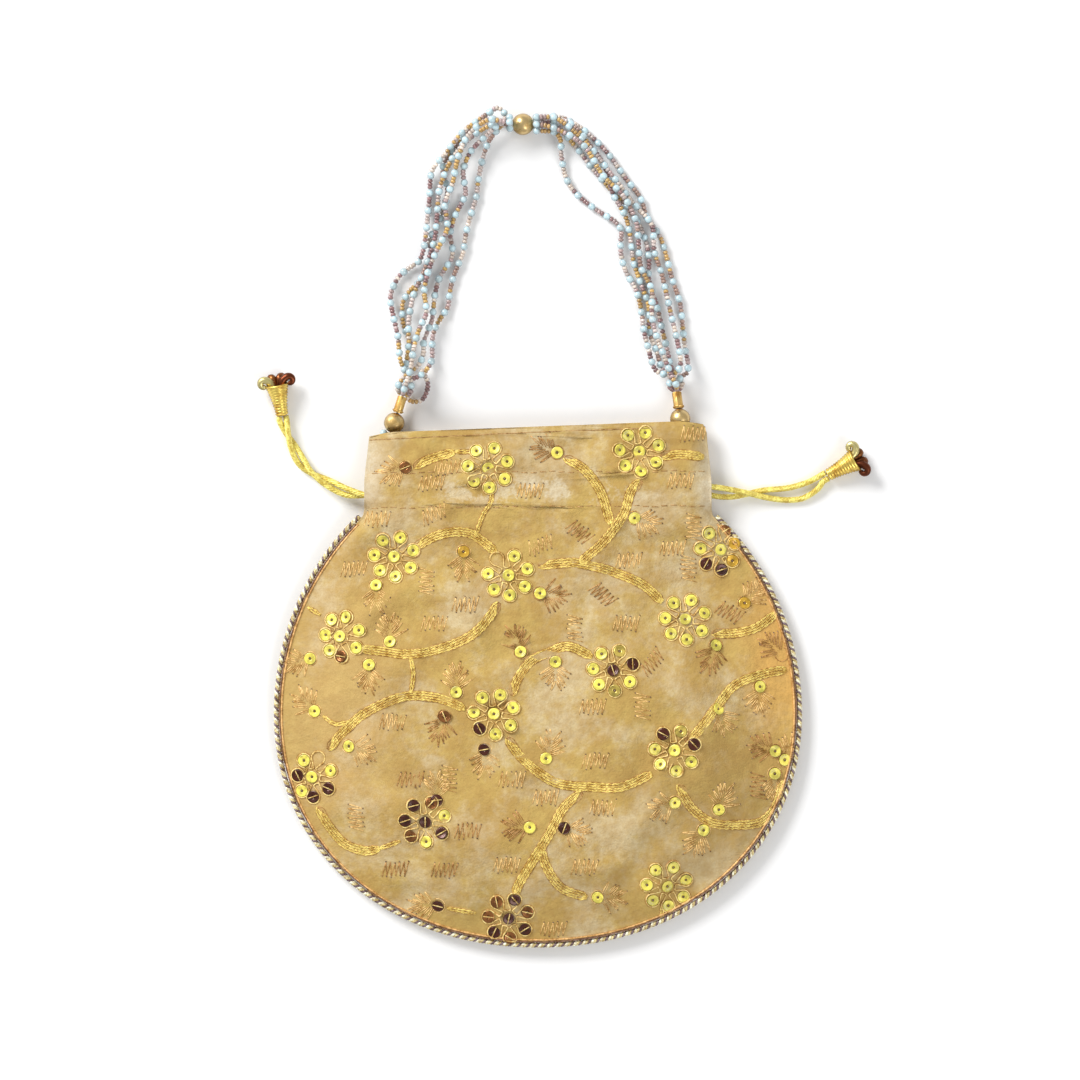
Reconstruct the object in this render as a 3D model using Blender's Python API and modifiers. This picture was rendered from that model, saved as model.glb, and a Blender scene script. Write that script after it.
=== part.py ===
"""Potli bag: a drawstring pouch of velvet, lying on its back, with a beaded handle.

Metres, +Z up. The bag lies on its back panel with the handle towards +Y.
The round body, the neck with its casing and two drawcords, the edge trim, two tassel
cones with petals, and a handle of twelve strings gathered by gold tubes and balls.
"""

import math

import bmesh
import bpy
from mathutils import Vector

MM = 0.001
GAP = 0.0003  # kept between pieces that touch

# Round body: a wide oval, in the cloth's own edge.
BODY_Y = -0.072
BODY_HALF = 0.1001
BODY_UP = 0.1029
BODY_DOWN = 0.0886
LOW_POWER = 2.1  # the lower half is a little squarer than an ellipse

# Neck and rim.
NECK_HALF = 0.0665
RIM_Y = 0.0384
RIM_SLOPE = 0.037
RIGHT_CORNER = 0.004
HEM_HALF = 0.0555
HEM_END = 0.004

# Cloth.
CLOTH = 0.0009
HEM_GAP = 0.0006
CASING_GAP = 0.0027
CASING_FRONT = 0.01315
RIM_DROP = 0.0012
BELLY_FRONT = 0.0186
BACK_FLAT = CLOTH / 2
FLANGE = 0.0025
GRAIN = 0.0006
GRAIN_LONG = 0.021
SEAM_BODY = 0.0046
SEAM_NECK = 0.0067
SLIT_RISE = 0.0029
SLIT_DROP = 0.0032
SLIT_LOW = 0.0070
SLIT_HIGH = 0.0205
FLANGE_HALF = 0.0006  # each panel stands this far off the seam
COLUMNS = (0, 0.195, 0.383, 0.556, 0.707, 0.831, 0.924, 0.981, 1)

# Trim and cords.
TRIM_WIDTH = 0.0024
TRIM_OUT = 0.0017
TRIM_TOP = 0.0022
TRIM_STEP = 0.0070
CORD = 0.0022
CORD_STEP = 0.0060
TURN_X = 0.0560  # the tunnels run from here on one side to here on the other
TURN_RADIUS = 0.00455
TUNNEL_FRONT = 0.01135
TUNNEL_BACK = 0.00225
LEFT_CORD_Y = 0.0108
RIGHT_CORD_Y = 0.0154
THROAT_SHORT = 0.0006  # a cord ends this far short of its cone
THROAT_SIDE = 0.00128

# Tassel cones: throat, axis and size.
CONE_LONG = 0.0123
CONE_THROAT = 0.0022
CONE_MOUTH = 0.0045
CONE_WALL = 0.0006
CONE_RIBS = 9
CONE_BORE = 0.0009
CONE_RIB_DEEP = 0.00025
CONE_FLARE = 1.35  # power of the flare from throat to mouth
LEFT_CONE = ((-0.0990, 0.0434, 0.0027), (-0.167, 0.966, 0.20))
RIGHT_CONE = ((0.1124, 0.0202, 0.0027), (0.857, 0.476, 0.20))
PETAL_TUBE = 0.0016
PETAL_STEP = 0.0016
PETAL_LEAN = 20  # degrees that the first petal is turned round the mouth
PETAL_REACH = (0.0072, 0.0062)  # the petals take these in turn
PETAL_CURL = 0.0018

# Handle.
TOP_BALL = (-0.0058, 0.1558, 0.0044)
TOP_BALL_RADIUS = 0.0042
TOP_BALL_BORE = 0.0012
END_BALL_RADIUS = 0.00395
LEFT_BALL = (-0.0556, 0.0403, 0.0042)
LEFT_AXIS = (0.30, 0.953, -0.02)
RIGHT_BALL = (0.0550, 0.0418, 0.0064)
RIGHT_AXIS = (-0.13, 0.97, -0.20)
BALL_BORE = 0.0008
TUBE_RADIUS = 0.0019
TUBE_BORE = 0.0013
TUBE_LONG = 0.0065
TUBE_FACES = 8
THREAD = 0.0009
PEARL_RADIUS = 0.0014
PEARL_BORE = 0.0004
LEFT_PEARL = (-0.0597, 0.0364, 0.0040)
RIGHT_PEARL = (0.0566, 0.0352, 0.0058)
STRING = 0.0020
STRING_STEP = 0.0048
STRING_SPACE = 0.00250
STRING_SLOPE = 0.30
STRING_REACH = 4  # samples each side that share a crossing's height
STRING_ENDS = (-1.3, 1.3, 0, -2.6, 2.6, 0)  # sideways places at a bundle's end, mm
HINGE_Z = 0.0124

# Routes of the strings in plan, in mm, from the top ball to the end tube.
LEFT_STRINGS = (
    ((-17, 158), (-25, 155), (-32, 147), (-37, 139), (-35, 130), (-38, 119), (-42, 111),
     (-41, 103), (-46, 95), (-52, 88), (-52, 78), (-49, 70), (-51, 62)),
    ((-18, 151), (-21, 144), (-23, 135), (-24, 127), (-26, 121), (-28, 113), (-29, 106),
     (-32, 99), (-34, 92), (-35, 85), (-39, 79), (-41, 72), (-41, 65), (-45, 59)),
    ((-19, 155), (-28, 149), (-34, 141), (-38, 131), (-39, 121), (-40, 111), (-44, 99),
     (-48, 90), (-50, 80), (-50, 71), (-51, 62)),
    ((-14, 162), (-22, 158), (-30, 152), (-36, 144), (-41, 138), (-42, 127), (-43, 117),
     (-44, 109), (-46, 103), (-53, 98), (-57, 90), (-56, 82), (-54, 73), (-53, 64)),
    ((-19, 152), (-26, 145), (-29, 137), (-28, 129), (-32, 121), (-34, 113), (-33, 105),
     (-38, 97), (-40, 89), (-41, 80), (-44, 72), (-45, 64)),
    ((-19, 157), (-27, 151), (-31, 142), (-33, 133), (-36, 125), (-35, 116), (-39, 107),
     (-42, 100), (-44, 91), (-43, 83), (-46, 76), (-48, 68), (-49, 61)),
)
RIGHT_STRINGS = (
    ((6, 156), (14, 148), (21, 139), (28, 131), (36, 122), (41, 113), (43, 104), (43, 95),
     (46, 86), (48, 77), (50, 69), (52, 60)),
    ((7, 159), (16, 155), (26, 146), (34, 135), (40, 127), (42, 120), (47, 113), (50, 104),
     (52, 96), (55, 87), (56, 78), (57, 69), (58, 60)),
    ((11, 157), (20, 148), (26, 139), (29, 129), (34, 120), (36, 111), (37, 103), (40, 94),
     (43, 85), (43, 76), (46, 68), (48, 61)),
    ((8, 152), (9, 144), (11, 135), (15, 129), (21, 124), (27, 120), (32, 116), (32, 107),
     (34, 99), (38, 92), (40, 84), (41, 76), (43, 68), (46, 60)),
    ((7, 158), (16, 151), (24, 142), (31, 133), (37, 125), (44, 117), (45, 107), (48, 98),
     (50, 89), (52, 80), (54, 71), (55, 62)),
    ((9, 153), (18, 147), (25, 136), (33, 128), (38, 118), (39, 109), (40, 100), (44, 92),
     (44, 82), (46, 73), (49, 65), (51, 59)),
)

# Free stretch of the left drawcord, the middle of its two twisted strands, in mm.
LEFT_PAIR = (
    (-66.3, 12.2, 6.6), (-74.0, 13.6, 4.4), (-81.8, 17.4, 2.7), (-88.0, 21.3, 2.55),
    (-91.8, 25.6, 2.55), (-94.9, 31.4, 2.55), (-97.3, 37.0, 2.6), (-98.6, 41.2, 2.7),
)
PAIR_RADIUS = 1.35  # mm
PAIR_TURN = 450  # degrees over the whole free stretch

# Free stretches of the right drawcord, from the neck outwards, in mm.
RIGHT_UPPER = (
    (61, 15.4, 9.6), (67.4, 15.5, 8.2), (74, 14.6, 6.0), (81.8, 13.0, 4.0),
    (89, 11.3, 2.2), (96.5, 10.5, 1.3), (102.7, 11.2, 1.3), (108.2, 14.6, 1.7),
)
RIGHT_LOWER = (
    (61, 14.6, 3.9), (67.6, 12.2, 4.9), (75, 11.7, 2.6), (81.8, 13.0, 1.35),
    (87.6, 14.3, 1.3), (96.5, 15.1, 1.3), (103.5, 17.0, 1.5), (107.6, 18.9, 2.0),
)

COLOURS = {
    "velvet": ((0.62, 0.42, 0.18), 0.9, 0.0),
    "trim": ((0.75, 0.70, 0.52), 0.6, 0.2),
    "cord": ((0.62, 0.52, 0.12), 0.45, 0.5),
    "wire": ((0.80, 0.55, 0.12), 0.3, 1.0),
    "petal": ((0.42, 0.26, 0.08), 0.4, 0.7),
    "string": ((0.72, 0.62, 0.48), 0.4, 0.1),
    "gold": ((0.72, 0.50, 0.20), 0.4, 1.0),
    "pearl": ((0.70, 0.80, 0.84), 0.25, 0.0),
    "thread": ((0.60, 0.50, 0.35), 0.8, 0.0),
}


# ---------------------------------------------------------------- small helpers


def clamp(value, low=0.0, high=1.0):
    return max(low, min(high, value))


def ease(value):
    value = clamp(value)
    return value * value * (3 - 2 * value)


def mix(a, b, share):
    return a + (b - a) * share


def in_metres(points):
    return [Vector(p) * MM for p in points]


def catmull(points, steps=24):
    """A smooth curve through the points, densely sampled."""
    ends = [points[0] * 2 - points[1], *points, points[-1] * 2 - points[-2]]
    found = []
    for i in range(1, len(ends) - 2):
        a, b, c, d = ends[i - 1 : i + 3]
        for k in range(steps):
            t = k / steps
            found.append(
                0.5 * (2 * b + (c - a) * t + (2 * a - 5 * b + 4 * c - d) * t * t
                       + (3 * b - 3 * c + d - a) * t ** 3)
            )
    found.append(points[-1])
    return found


def respaced(line, step):
    """The same line with its points a step apart."""
    along = [0.0]
    for a, b in zip(line, line[1:]):
        along.append(along[-1] + (b - a).length)
    count = max(2, round(along[-1] / step) + 1)
    found = []
    index = 0
    for k in range(count):
        at = along[-1] * k / (count - 1)
        while index < len(line) - 2 and along[index + 1] < at:
            index += 1
        share = (at - along[index]) / max(along[index + 1] - along[index], 1e-9)
        found.append(line[index].lerp(line[index + 1], clamp(share)))
    return found


# ---------------------------------------------------------------- scene set-up


def clear_scene():
    for obj in list(bpy.data.objects):
        bpy.data.objects.remove(obj, do_unlink=True)


def make_collection(name):
    collection = bpy.data.collections.new(name)
    bpy.context.scene.collection.children.link(collection)
    return collection


def material(name):
    """One Principled material a finish, made the first time it is asked for."""
    if name in bpy.data.materials:
        return bpy.data.materials[name]
    colour, rough, metal = COLOURS[name]
    made = bpy.data.materials.new(name)
    made.use_nodes = True
    shader = made.node_tree.nodes["Principled BSDF"]
    shader.inputs["Base Color"].default_value = (*colour, 1)
    shader.inputs["Roughness"].default_value = rough
    shader.inputs["Metallic"].default_value = metal
    return made


def add(name, data, finish, parent):
    obj = bpy.data.objects.new(name, data)
    data.materials.append(material(finish).copy())
    obj.parent = parent
    if parent:
        obj.matrix_parent_inverse = parent.matrix_world.inverted()
    BAG.objects.link(obj)
    return obj


def mesh_from(shape, name, smooth_angle=40):
    mesh = bpy.data.meshes.new(name)
    bmesh.ops.recalc_face_normals(shape, faces=shape.faces)
    shape.to_mesh(mesh)
    shape.free()
    mesh.shade_smooth()
    mesh.set_sharp_from_angle(angle=math.radians(smooth_angle))
    return mesh


def tube(name, points, width, finish, parent, sides=2):
    """A round tube with flat ends along the points."""
    curve = bpy.data.curves.new(name, "CURVE")
    curve.dimensions = "3D"
    curve.bevel_depth = width / 2
    curve.bevel_resolution = sides
    curve.use_fill_caps = True
    spline = curve.splines.new("POLY")
    spline.points.add(len(points) - 1)
    for point, place in zip(spline.points, points):
        point.co = (*place, 1)
    return add(name, curve, finish, parent)


def turned(name, profile, finish, parent, place, axis, steps=16):
    """A closed profile of (radius, height) turned about an axis through place."""
    mesh = bpy.data.meshes.new(name)
    shape = bmesh.new()
    corners = [shape.verts.new((radius, 0, height)) for radius, height in profile]
    for a, b in zip(corners, corners[1:] + corners[:1]):
        shape.edges.new((a, b))
    shape.to_mesh(mesh)
    shape.free()
    obj = add(name, mesh, finish, parent)
    screw = obj.modifiers.new("turn", "SCREW")
    screw.steps = steps
    screw.render_steps = steps
    screw.use_merge_vertices = True
    screw.merge_threshold = 0.00001
    screw.use_smooth_shade = True
    turn = Vector((0, 0, 1)).rotation_difference(Vector(axis))
    obj.matrix_world = turn.to_matrix().to_4x4()
    obj.matrix_world.translation = place
    return obj


# ---------------------------------------------------------------- cloth form


def oval_half(y, out=0.0):
    """Half width of the round body at y, its edge moved out by that much."""
    if y >= BODY_Y:
        rise = clamp((y - BODY_Y) / (BODY_UP + out))
        return (BODY_HALF + out) * math.sqrt(1 - rise * rise)
    fall = clamp((BODY_Y - y) / (BODY_DOWN + out))
    return (BODY_HALF + out) * (1 - fall ** LOW_POWER) ** (1 / LOW_POWER)


def half_width(y):
    """Half width of the cloth at y: the oval, running smoothly into the neck."""
    oval = oval_half(y)
    if y < -0.03:
        return oval
    apart = oval - NECK_HALF
    return (oval + NECK_HALF + math.hypot(apart, 0.0012)) / 2


def oval_share(x, y):
    """0 at the body's centre and 1 on the oval."""
    across = abs(x) / BODY_HALF
    if y >= BODY_Y:
        return math.hypot(across, (y - BODY_Y) / BODY_UP)
    down = (BODY_Y - y) / BODY_DOWN
    return (across ** LOW_POWER + down ** LOW_POWER) ** (1 / LOW_POWER)


def neck_share(y):
    return ease((y + 0.020) / 0.026)


def inset(x, y):
    """Distance in from the side or bottom edge of the cloth, for body and neck."""
    body = (1 - oval_share(x, y)) * 0.095
    neck = half_width(y) - abs(x)
    return max(body, 0.0), max(neck, 0.0)


def seam_height(y):
    return mix(SEAM_BODY, SEAM_NECK, neck_share(y))


def slit(y):
    """1 over the side opening that the cords leave by, 0 elsewhere."""
    return min(ease((y - SLIT_LOW) / 0.0025), ease((SLIT_HIGH - y) / 0.0030))


def crown(y):
    """Height of the front panel's middle line, at the middle of its cloth."""
    top = mix(BELLY_FRONT, CASING_FRONT, ease((y + 0.075) / 0.085))
    return top - RIM_DROP * ease((y - 0.022) / 0.014)


def front_height(x, y):
    body, neck = inset(x, y)
    round_rise = 1 - (1 - clamp((body - FLANGE) / 0.052)) ** 2.3
    side_rise = math.sqrt(1 - (1 - clamp((neck - FLANGE) / 0.009)) ** 2)
    edge = seam_height(y) + FLANGE_HALF + SLIT_RISE * slit(y)
    return mix(edge, crown(y), mix(round_rise, side_rise, neck_share(y)))


def back_height(x, y):
    body, neck = inset(x, y)
    round_fall = 1 - (1 - clamp((body - FLANGE) / 0.014)) ** 2.5
    side_fall = math.sqrt(1 - (1 - clamp((neck - FLANGE) / 0.009)) ** 2)
    edge = seam_height(y) - FLANGE_HALF - SLIT_DROP * slit(y)
    return mix(edge, BACK_FLAT, mix(round_fall, side_fall, neck_share(y)))


def rim_lift(x, y):
    """How far a row moves up with the sloping rim."""
    return RIM_SLOPE * x * ease((y - 0.022) / 0.012)


def row_half(y, right):
    """Half width of a row, with the right rim corner rounded."""
    half = half_width(y)
    over = y - (RIM_Y - RIGHT_CORNER)
    if right and over > 0:
        half -= RIGHT_CORNER - math.sqrt(max(RIGHT_CORNER ** 2 - over ** 2, 0))
    return half


def outer_rows():
    """Rows of the outer layer, from the bottom of the bag to the rim."""
    low = [BODY_Y - BODY_DOWN * math.sin(math.radians(a))
           for a in (86, 78, 70, 61, 52, 42, 32, 21, 10)]
    high = [-0.072, -0.060, -0.047, -0.034, -0.022, -0.012, -0.004, 0.002]
    neck = [0.0045, 0.0070, 0.0096, 0.0135, 0.0174, 0.0208, 0.0240, 0.0290, 0.0340]
    return low + high + neck + [RIM_Y - 0.0010]


def hem_gap(y):
    return mix(HEM_GAP, CASING_GAP, min(ease((y - 0.0060) / 0.0025), ease((0.0225 - y) / 0.0025)))


def grain(u, y):
    """The cloth's grain wavers a little between its two edges."""
    return GRAIN * math.sin(y / GRAIN_LONG + 2 * u) * (1 - u * u)


def panel_rows(height, inwards):
    """All rows of one panel as points: outer layer, rim fold, turned-in hem."""
    sides = [-u for u in reversed(COLUMNS[1:])] + list(COLUMNS)
    rows = []
    for y in outer_rows():
        row = []
        for u in sides:
            x = u * row_half(y, u > 0) + grain(u, y)
            row.append(Vector((x, y + rim_lift(x, y), height(x, y))))
        rows.append(row)
    half_fold = (CLOTH + HEM_GAP) / 2
    fold = []
    for u in sides:
        x = u * mix(HEM_HALF, row_half(RIM_Y, u > 0) - 0.001, 0.3)
        z = height(x * 0.8, RIM_Y) + inwards * half_fold
        fold.append(Vector((x, RIM_Y + rim_lift(x, RIM_Y), z)))
    rows.append(fold)
    for y in (RIM_Y - 0.0010, 0.0300, 0.0235, 0.0208, 0.0174, 0.0120, 0.0086, 0.0060, HEM_END):
        row = []
        for u in sides:
            x = u * HEM_HALF + grain(u, y)
            z = height(0, y) + inwards * (CLOTH + hem_gap(y))
            row.append(Vector((x, y + rim_lift(x, y), z)))
        rows.append(row)
    return rows


def make_panel(name, height, inwards, parent):
    """One cloth panel: a lofted open surface given its thickness by Solidify."""
    shape = bmesh.new()
    made = [[shape.verts.new(p) for p in row] for row in panel_rows(height, inwards)]
    for low, high in zip(made, made[1:]):
        for i in range(len(low) - 1):
            shape.faces.new((low[i], low[i + 1], high[i + 1], high[i]))
    mesh = mesh_from(shape, name, 60)
    obj = add(name, mesh, "velvet", parent)
    solid = obj.modifiers.new("cloth", "SOLIDIFY")
    solid.thickness = CLOTH
    solid.offset = 0
    return obj


# ---------------------------------------------------------------- trim and cords


def trim_line():
    """The seam's edge from shoulder to shoulder, round by the bottom."""
    upper = [mix(BODY_Y, TRIM_TOP, math.sin(math.pi / 2 * (1 - k / 32))) for k in range(33)]
    lower = [BODY_Y - (BODY_DOWN + TRIM_OUT) * math.sin(math.pi / 2 * k / 40)
             for k in range(1, 41)]
    right = [Vector((oval_half(y, TRIM_OUT), y, seam_height(y))) for y in upper + lower]
    left = [Vector((-p.x, p.y, p.z)) for p in reversed(right[:-1])]
    return right + left


def twisted_pair():
    """The left cord's two strands between neck and cone, from the neck outwards."""
    centre = in_metres(LEFT_PAIR)
    first = []
    second = []
    for k, place in enumerate(centre):
        ahead = centre[min(k + 1, len(centre) - 1)] - centre[max(k - 1, 0)]
        side = Vector((-ahead.y, ahead.x, 0)).normalized()
        angle = math.radians(90 + PAIR_TURN * k / (len(centre) - 1))
        off = side * math.cos(angle) + Vector((0, 0, math.sin(angle)))
        off *= PAIR_RADIUS * MM * (1.25 if k == 0 else 1)
        first.append(place + off)
        second.append(place - off)
    return first, second


def inside_run(y, way):
    """The casing's run: front tunnel, turn at the far side, back tunnel. way is +1 or -1."""
    start = -way * TURN_X
    front = [Vector((start, y, TUNNEL_FRONT - 0.0002))]
    back = []
    for share in (0.1, 0.3, 0.5, 0.7, 0.88):
        x = mix(start, way * TURN_X, share)
        front.append(Vector((x, y, TUNNEL_FRONT)))
        back.append(Vector((x, y, TUNNEL_BACK)))
    middle = (TUNNEL_FRONT + TUNNEL_BACK) / 2
    turn = []
    for k in range(7):
        angle = math.radians(90 - 30 * k)
        x = way * (TURN_X + TURN_RADIUS * math.cos(angle))
        turn.append(Vector((x, y, middle + TURN_RADIUS * math.sin(angle))))
    return front + turn + back[::-1] + [Vector((start, y, TUNNEL_BACK + 0.0002))]


def throat_ends(cone, away):
    """The middles of the cord's two strands, side by side that far short of the throat."""
    place, axis = Vector(cone[0]), Vector(cone[1]).normalized()
    side = Vector((-axis.y, axis.x, 0)).normalized() * THROAT_SIDE
    return [place - axis * away + side, place - axis * away - side]


def left_cord_route():
    """From the cone along one strand, through the casing and back along the other."""
    first, second = twisted_pair()
    ends = throat_ends(LEFT_CONE, THROAT_SHORT)
    ends.sort(key=lambda end: (first[-1] - end).length)
    out = Vector((-0.0610, 0.0113, 0.0096))
    back = Vector((-0.0610, 0.0112, 0.0038))
    return [ends[0], *first[::-1], out, *inside_run(LEFT_CORD_Y, 1), back, *second, ends[1]]


def right_cord_route():
    """From the cone along the upper strand, through the casing and back along the lower."""
    upper, lower = in_metres(RIGHT_UPPER), in_metres(RIGHT_LOWER)
    ends = throat_ends(RIGHT_CONE, THROAT_SHORT)
    leads = throat_ends(RIGHT_CONE, THROAT_SHORT + 0.0025)
    return [ends[1], leads[1], *upper[::-1], *inside_run(RIGHT_CORD_Y, -1), *lower, leads[0],
            ends[0]]


# ---------------------------------------------------------------- tassels


def make_cone(name, cone, parent):
    """A wire-wound cone: a flared cup whose outside is ribbed by the wire's turns."""
    outside = []
    count = CONE_RIBS * 2
    for k in range(count + 1):
        share = 1 - k / count
        flare = share ** CONE_FLARE
        radius = mix(CONE_THROAT, CONE_MOUTH, flare) + (CONE_RIB_DEEP if k % 2 else 0)
        outside.append((radius, CONE_LONG * share))
    inside = [(CONE_BORE, 0.0), (CONE_BORE, CONE_LONG * 0.15)]
    for share in (0.5, 0.8, 1.0):
        radius = mix(CONE_THROAT, CONE_MOUTH, share ** CONE_FLARE) - CONE_WALL
        inside.append((radius, CONE_LONG * share))
    axis = Vector(cone[1]).normalized()
    return turned(name, outside + inside, "wire", parent, cone[0], axis, 18)


def petal_points(cone, around, reach, curl):
    """One petal: a wire-stiff strip rising from the mouth, leaning out and curling back."""
    place, axis = Vector(cone[0]), Vector(cone[1]).normalized()
    side = Vector((-axis.y, axis.x, 0)).normalized()
    up = side.cross(axis) * -1
    out = side * math.cos(around) + up * math.sin(around)
    foot = place + axis * (CONE_LONG * 0.55) + out * 0.0010
    points = [foot, place + axis * (CONE_LONG + 0.0004) + out * 0.0023]
    turn = place + axis * (CONE_LONG + 0.0030) + out * (reach - curl)
    for k in range(6):
        angle = math.radians(150 - 48 * k)
        points.append(turn + axis * curl * math.sin(angle) + out * curl * math.cos(angle))
    return points


def make_petals(side_name, cone, parent):
    """Four petals round the mouth, at right angles to each other."""
    for k in range(4):
        around = math.radians(PETAL_LEAN + 90 * k)
        points = petal_points(cone, around, PETAL_REACH[k % 2], PETAL_CURL)
        line = respaced(catmull(points, 8), PETAL_STEP)
        tube(f"petal_{side_name}_{k + 1}", line, PETAL_TUBE, "petal", parent, 1)


# ---------------------------------------------------------------- handle


def ball_profile(radius, bore):
    """A ball with a hole through it, down its outer side and back up the bore."""
    tip = math.asin(bore / radius)
    profile = []
    for k in range(11):
        angle = mix(math.pi / 2 - tip, tip - math.pi / 2, k / 10)
        profile.append((radius * math.cos(angle), radius * math.sin(angle)))
    return profile


def tube_profile():
    """A short faceted tube with a ring at its lower end."""
    return [
        (TUBE_RADIUS - 0.0002, TUBE_LONG), (TUBE_RADIUS, TUBE_LONG - 0.0003),
        (TUBE_RADIUS, 0.0010), (TUBE_RADIUS + 0.0004, 0.0007), (TUBE_RADIUS + 0.0004, 0.0002),
        (TUBE_RADIUS, 0.0), (TUBE_BORE, 0.0), (TUBE_BORE, TUBE_LONG),
    ]


def string_plans(ball_side, routes, mouth, axis):
    """Plan lines of one side's strings, spread sideways where they gather."""
    across = Vector((-axis.y, axis.x, 0)).normalized()
    plans = []
    for route, off in zip(routes, STRING_ENDS):
        start = Vector((ball_side.x, ball_side.y + off * MM, 0))
        lead = start + Vector((math.copysign(0.0022, ball_side.x - TOP_BALL[0]), 0, 0))
        end = Vector((mouth.x, mouth.y, 0)) + across * off * MM
        before = end + Vector((axis.x, axis.y, 0)).normalized() * 0.0025
        middle = [Vector((x * MM, y * MM, 0)) for x, y in route]
        plans.append(respaced(catmull([start, lead, *middle, before, end]), 0.0012))
    return plans


def laid(plans):
    """Each string lies on the floor and over the ones laid before it."""
    rest = STRING / 2 + 0.0001
    done = []
    for plan in plans:
        heights = []
        for p in plan:
            height = rest
            for q in done:
                near = (q.x - p.x) ** 2 + (q.y - p.y) ** 2
                if near < STRING_SPACE ** 2:
                    height = max(height, q.z + math.sqrt(STRING_SPACE ** 2 - near))
            heights.append(height)
        wide = STRING_REACH
        heights = [max(heights[max(i - wide, 0) : i + wide + 1]) for i in range(len(heights))]
        step = (plan[1] - plan[0]).length * STRING_SLOPE
        for order in (range(1, len(heights)), range(len(heights) - 2, -1, -1)):
            for i in order:
                other = i - 1 if order.step > 0 else i + 1
                heights[i] = max(heights[i], heights[other] - step)
        line = [Vector((p.x, p.y, z)) for p, z in zip(plan, heights)]
        done += line
        yield line


def make_strings(side_name, routes, ball, axis, parent):
    axis = Vector(axis).normalized()
    mouth = Vector(ball) + axis * (END_BALL_RADIUS + TUBE_LONG + 0.0030)
    way = 1 if side_name == "right" else -1
    ball_side = Vector(TOP_BALL) + Vector((way * (TOP_BALL_RADIUS + 0.0006), 0, 0))
    lines = laid(string_plans(ball_side, routes, mouth, axis))
    for number, line in enumerate(lines, 1):
        name = f"strand_{side_name}_{number}"
        tube(name, respaced(line, STRING_STEP), STRING, "string", parent, 1)


def make_handle_end(side_name, ball, axis, pearl, bag, handle):
    axis = Vector(axis).normalized()
    ball = Vector(ball)
    pearl = Vector(pearl)
    turned(f"end_ball_{side_name}", ball_profile(END_BALL_RADIUS, BALL_BORE), "gold",
           handle, ball, axis)
    foot = ball + axis * (END_BALL_RADIUS + GAP)
    turned(f"end_tube_{side_name}", tube_profile(), "gold", handle, foot, axis, TUBE_FACES)
    lower = ball - axis * (END_BALL_RADIUS + 0.0002)
    start = lower + (pearl - lower) * 0.15
    line = [start, lower, foot + axis * (TUBE_LONG - 0.001)]
    tube(f"anchor_thread_{side_name}", line, THREAD, "thread", handle, 1)
    turned(f"anchor_pearl_{side_name}", ball_profile(PEARL_RADIUS, PEARL_BORE), "pearl",
           bag, pearl, (pearl - lower).normalized(), 12)


# ---------------------------------------------------------------- the whole bag

clear_scene()
BAG = make_collection("potli_bag")

bag = bpy.data.objects.new("bag_frame", None)
handle = bpy.data.objects.new("handle_hinge", None)
for empty in (bag, handle):
    BAG.objects.link(empty)
handle.parent = bag
handle.location = (0, RIM_Y, HINGE_Z)
handle.rotation_euler = (0, 0, math.atan(RIM_SLOPE))
bpy.context.view_layer.update()

make_panel("back_panel", back_height, 1, bag)
make_panel("front_panel", front_height, -1, bag)
tube("edge_trim", respaced(trim_line(), TRIM_STEP), TRIM_WIDTH, "trim", bag, 1)

tube("drawcord_left", respaced(catmull(left_cord_route()), CORD_STEP), CORD, "cord", bag)
tube("drawcord_right", respaced(catmull(right_cord_route()), CORD_STEP), CORD, "cord", bag)
make_cone("tassel_cone_left", LEFT_CONE, bag)
make_cone("tassel_cone_right", RIGHT_CONE, bag)
make_petals("left", LEFT_CONE, bag)
make_petals("right", RIGHT_CONE, bag)

turned("top_ball", ball_profile(TOP_BALL_RADIUS, TOP_BALL_BORE), "gold", handle, TOP_BALL, (1, 0, 0))
make_handle_end("left", LEFT_BALL, LEFT_AXIS, LEFT_PEARL, bag, handle)
make_handle_end("right", RIGHT_BALL, RIGHT_AXIS, RIGHT_PEARL, bag, handle)
make_strings("left", LEFT_STRINGS, LEFT_BALL, LEFT_AXIS, handle)
make_strings("right", RIGHT_STRINGS, RIGHT_BALL, RIGHT_AXIS, handle)
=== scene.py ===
import math
import random

import bmesh
import bpy
import numpy as np
from mathutils import Matrix, Vector, noise
from mathutils.bvhtree import BVHTree


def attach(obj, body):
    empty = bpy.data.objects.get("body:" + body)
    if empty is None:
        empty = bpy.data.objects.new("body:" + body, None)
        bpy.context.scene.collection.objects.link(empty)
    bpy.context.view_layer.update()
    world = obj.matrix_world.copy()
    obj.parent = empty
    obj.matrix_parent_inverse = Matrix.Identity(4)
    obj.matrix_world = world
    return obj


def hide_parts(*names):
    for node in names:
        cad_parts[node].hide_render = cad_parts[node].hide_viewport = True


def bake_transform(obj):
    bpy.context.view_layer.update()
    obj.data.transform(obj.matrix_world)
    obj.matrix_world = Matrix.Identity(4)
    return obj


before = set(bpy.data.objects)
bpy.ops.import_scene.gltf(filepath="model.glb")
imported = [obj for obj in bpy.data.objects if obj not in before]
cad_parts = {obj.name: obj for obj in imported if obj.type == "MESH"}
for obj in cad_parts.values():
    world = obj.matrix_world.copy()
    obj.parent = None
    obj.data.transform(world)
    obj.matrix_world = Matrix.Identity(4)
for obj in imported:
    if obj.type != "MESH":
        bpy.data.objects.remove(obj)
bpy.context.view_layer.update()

bl_info = {
    "name": "Potli Bag",
    "version": (1, 0, 0),
    "blender": (4, 5, 0),
    "location": "View3D > Sidebar > Potli Bag",
    "description": "Builds the cloth, embroidery, beads, cords and stage of a small drawstring bag",
    "category": "Add Mesh",
}

MM = 0.001
VINE_ROW = 0.00092
PETAL_CURL = 0.0017
PETAL_FAT = 0.0030
PEARL_LIFT = 0.00045
LOOP_LIFT = 0.00026

# ---------------------------------------------------------------- sizes shared with the frame

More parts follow.
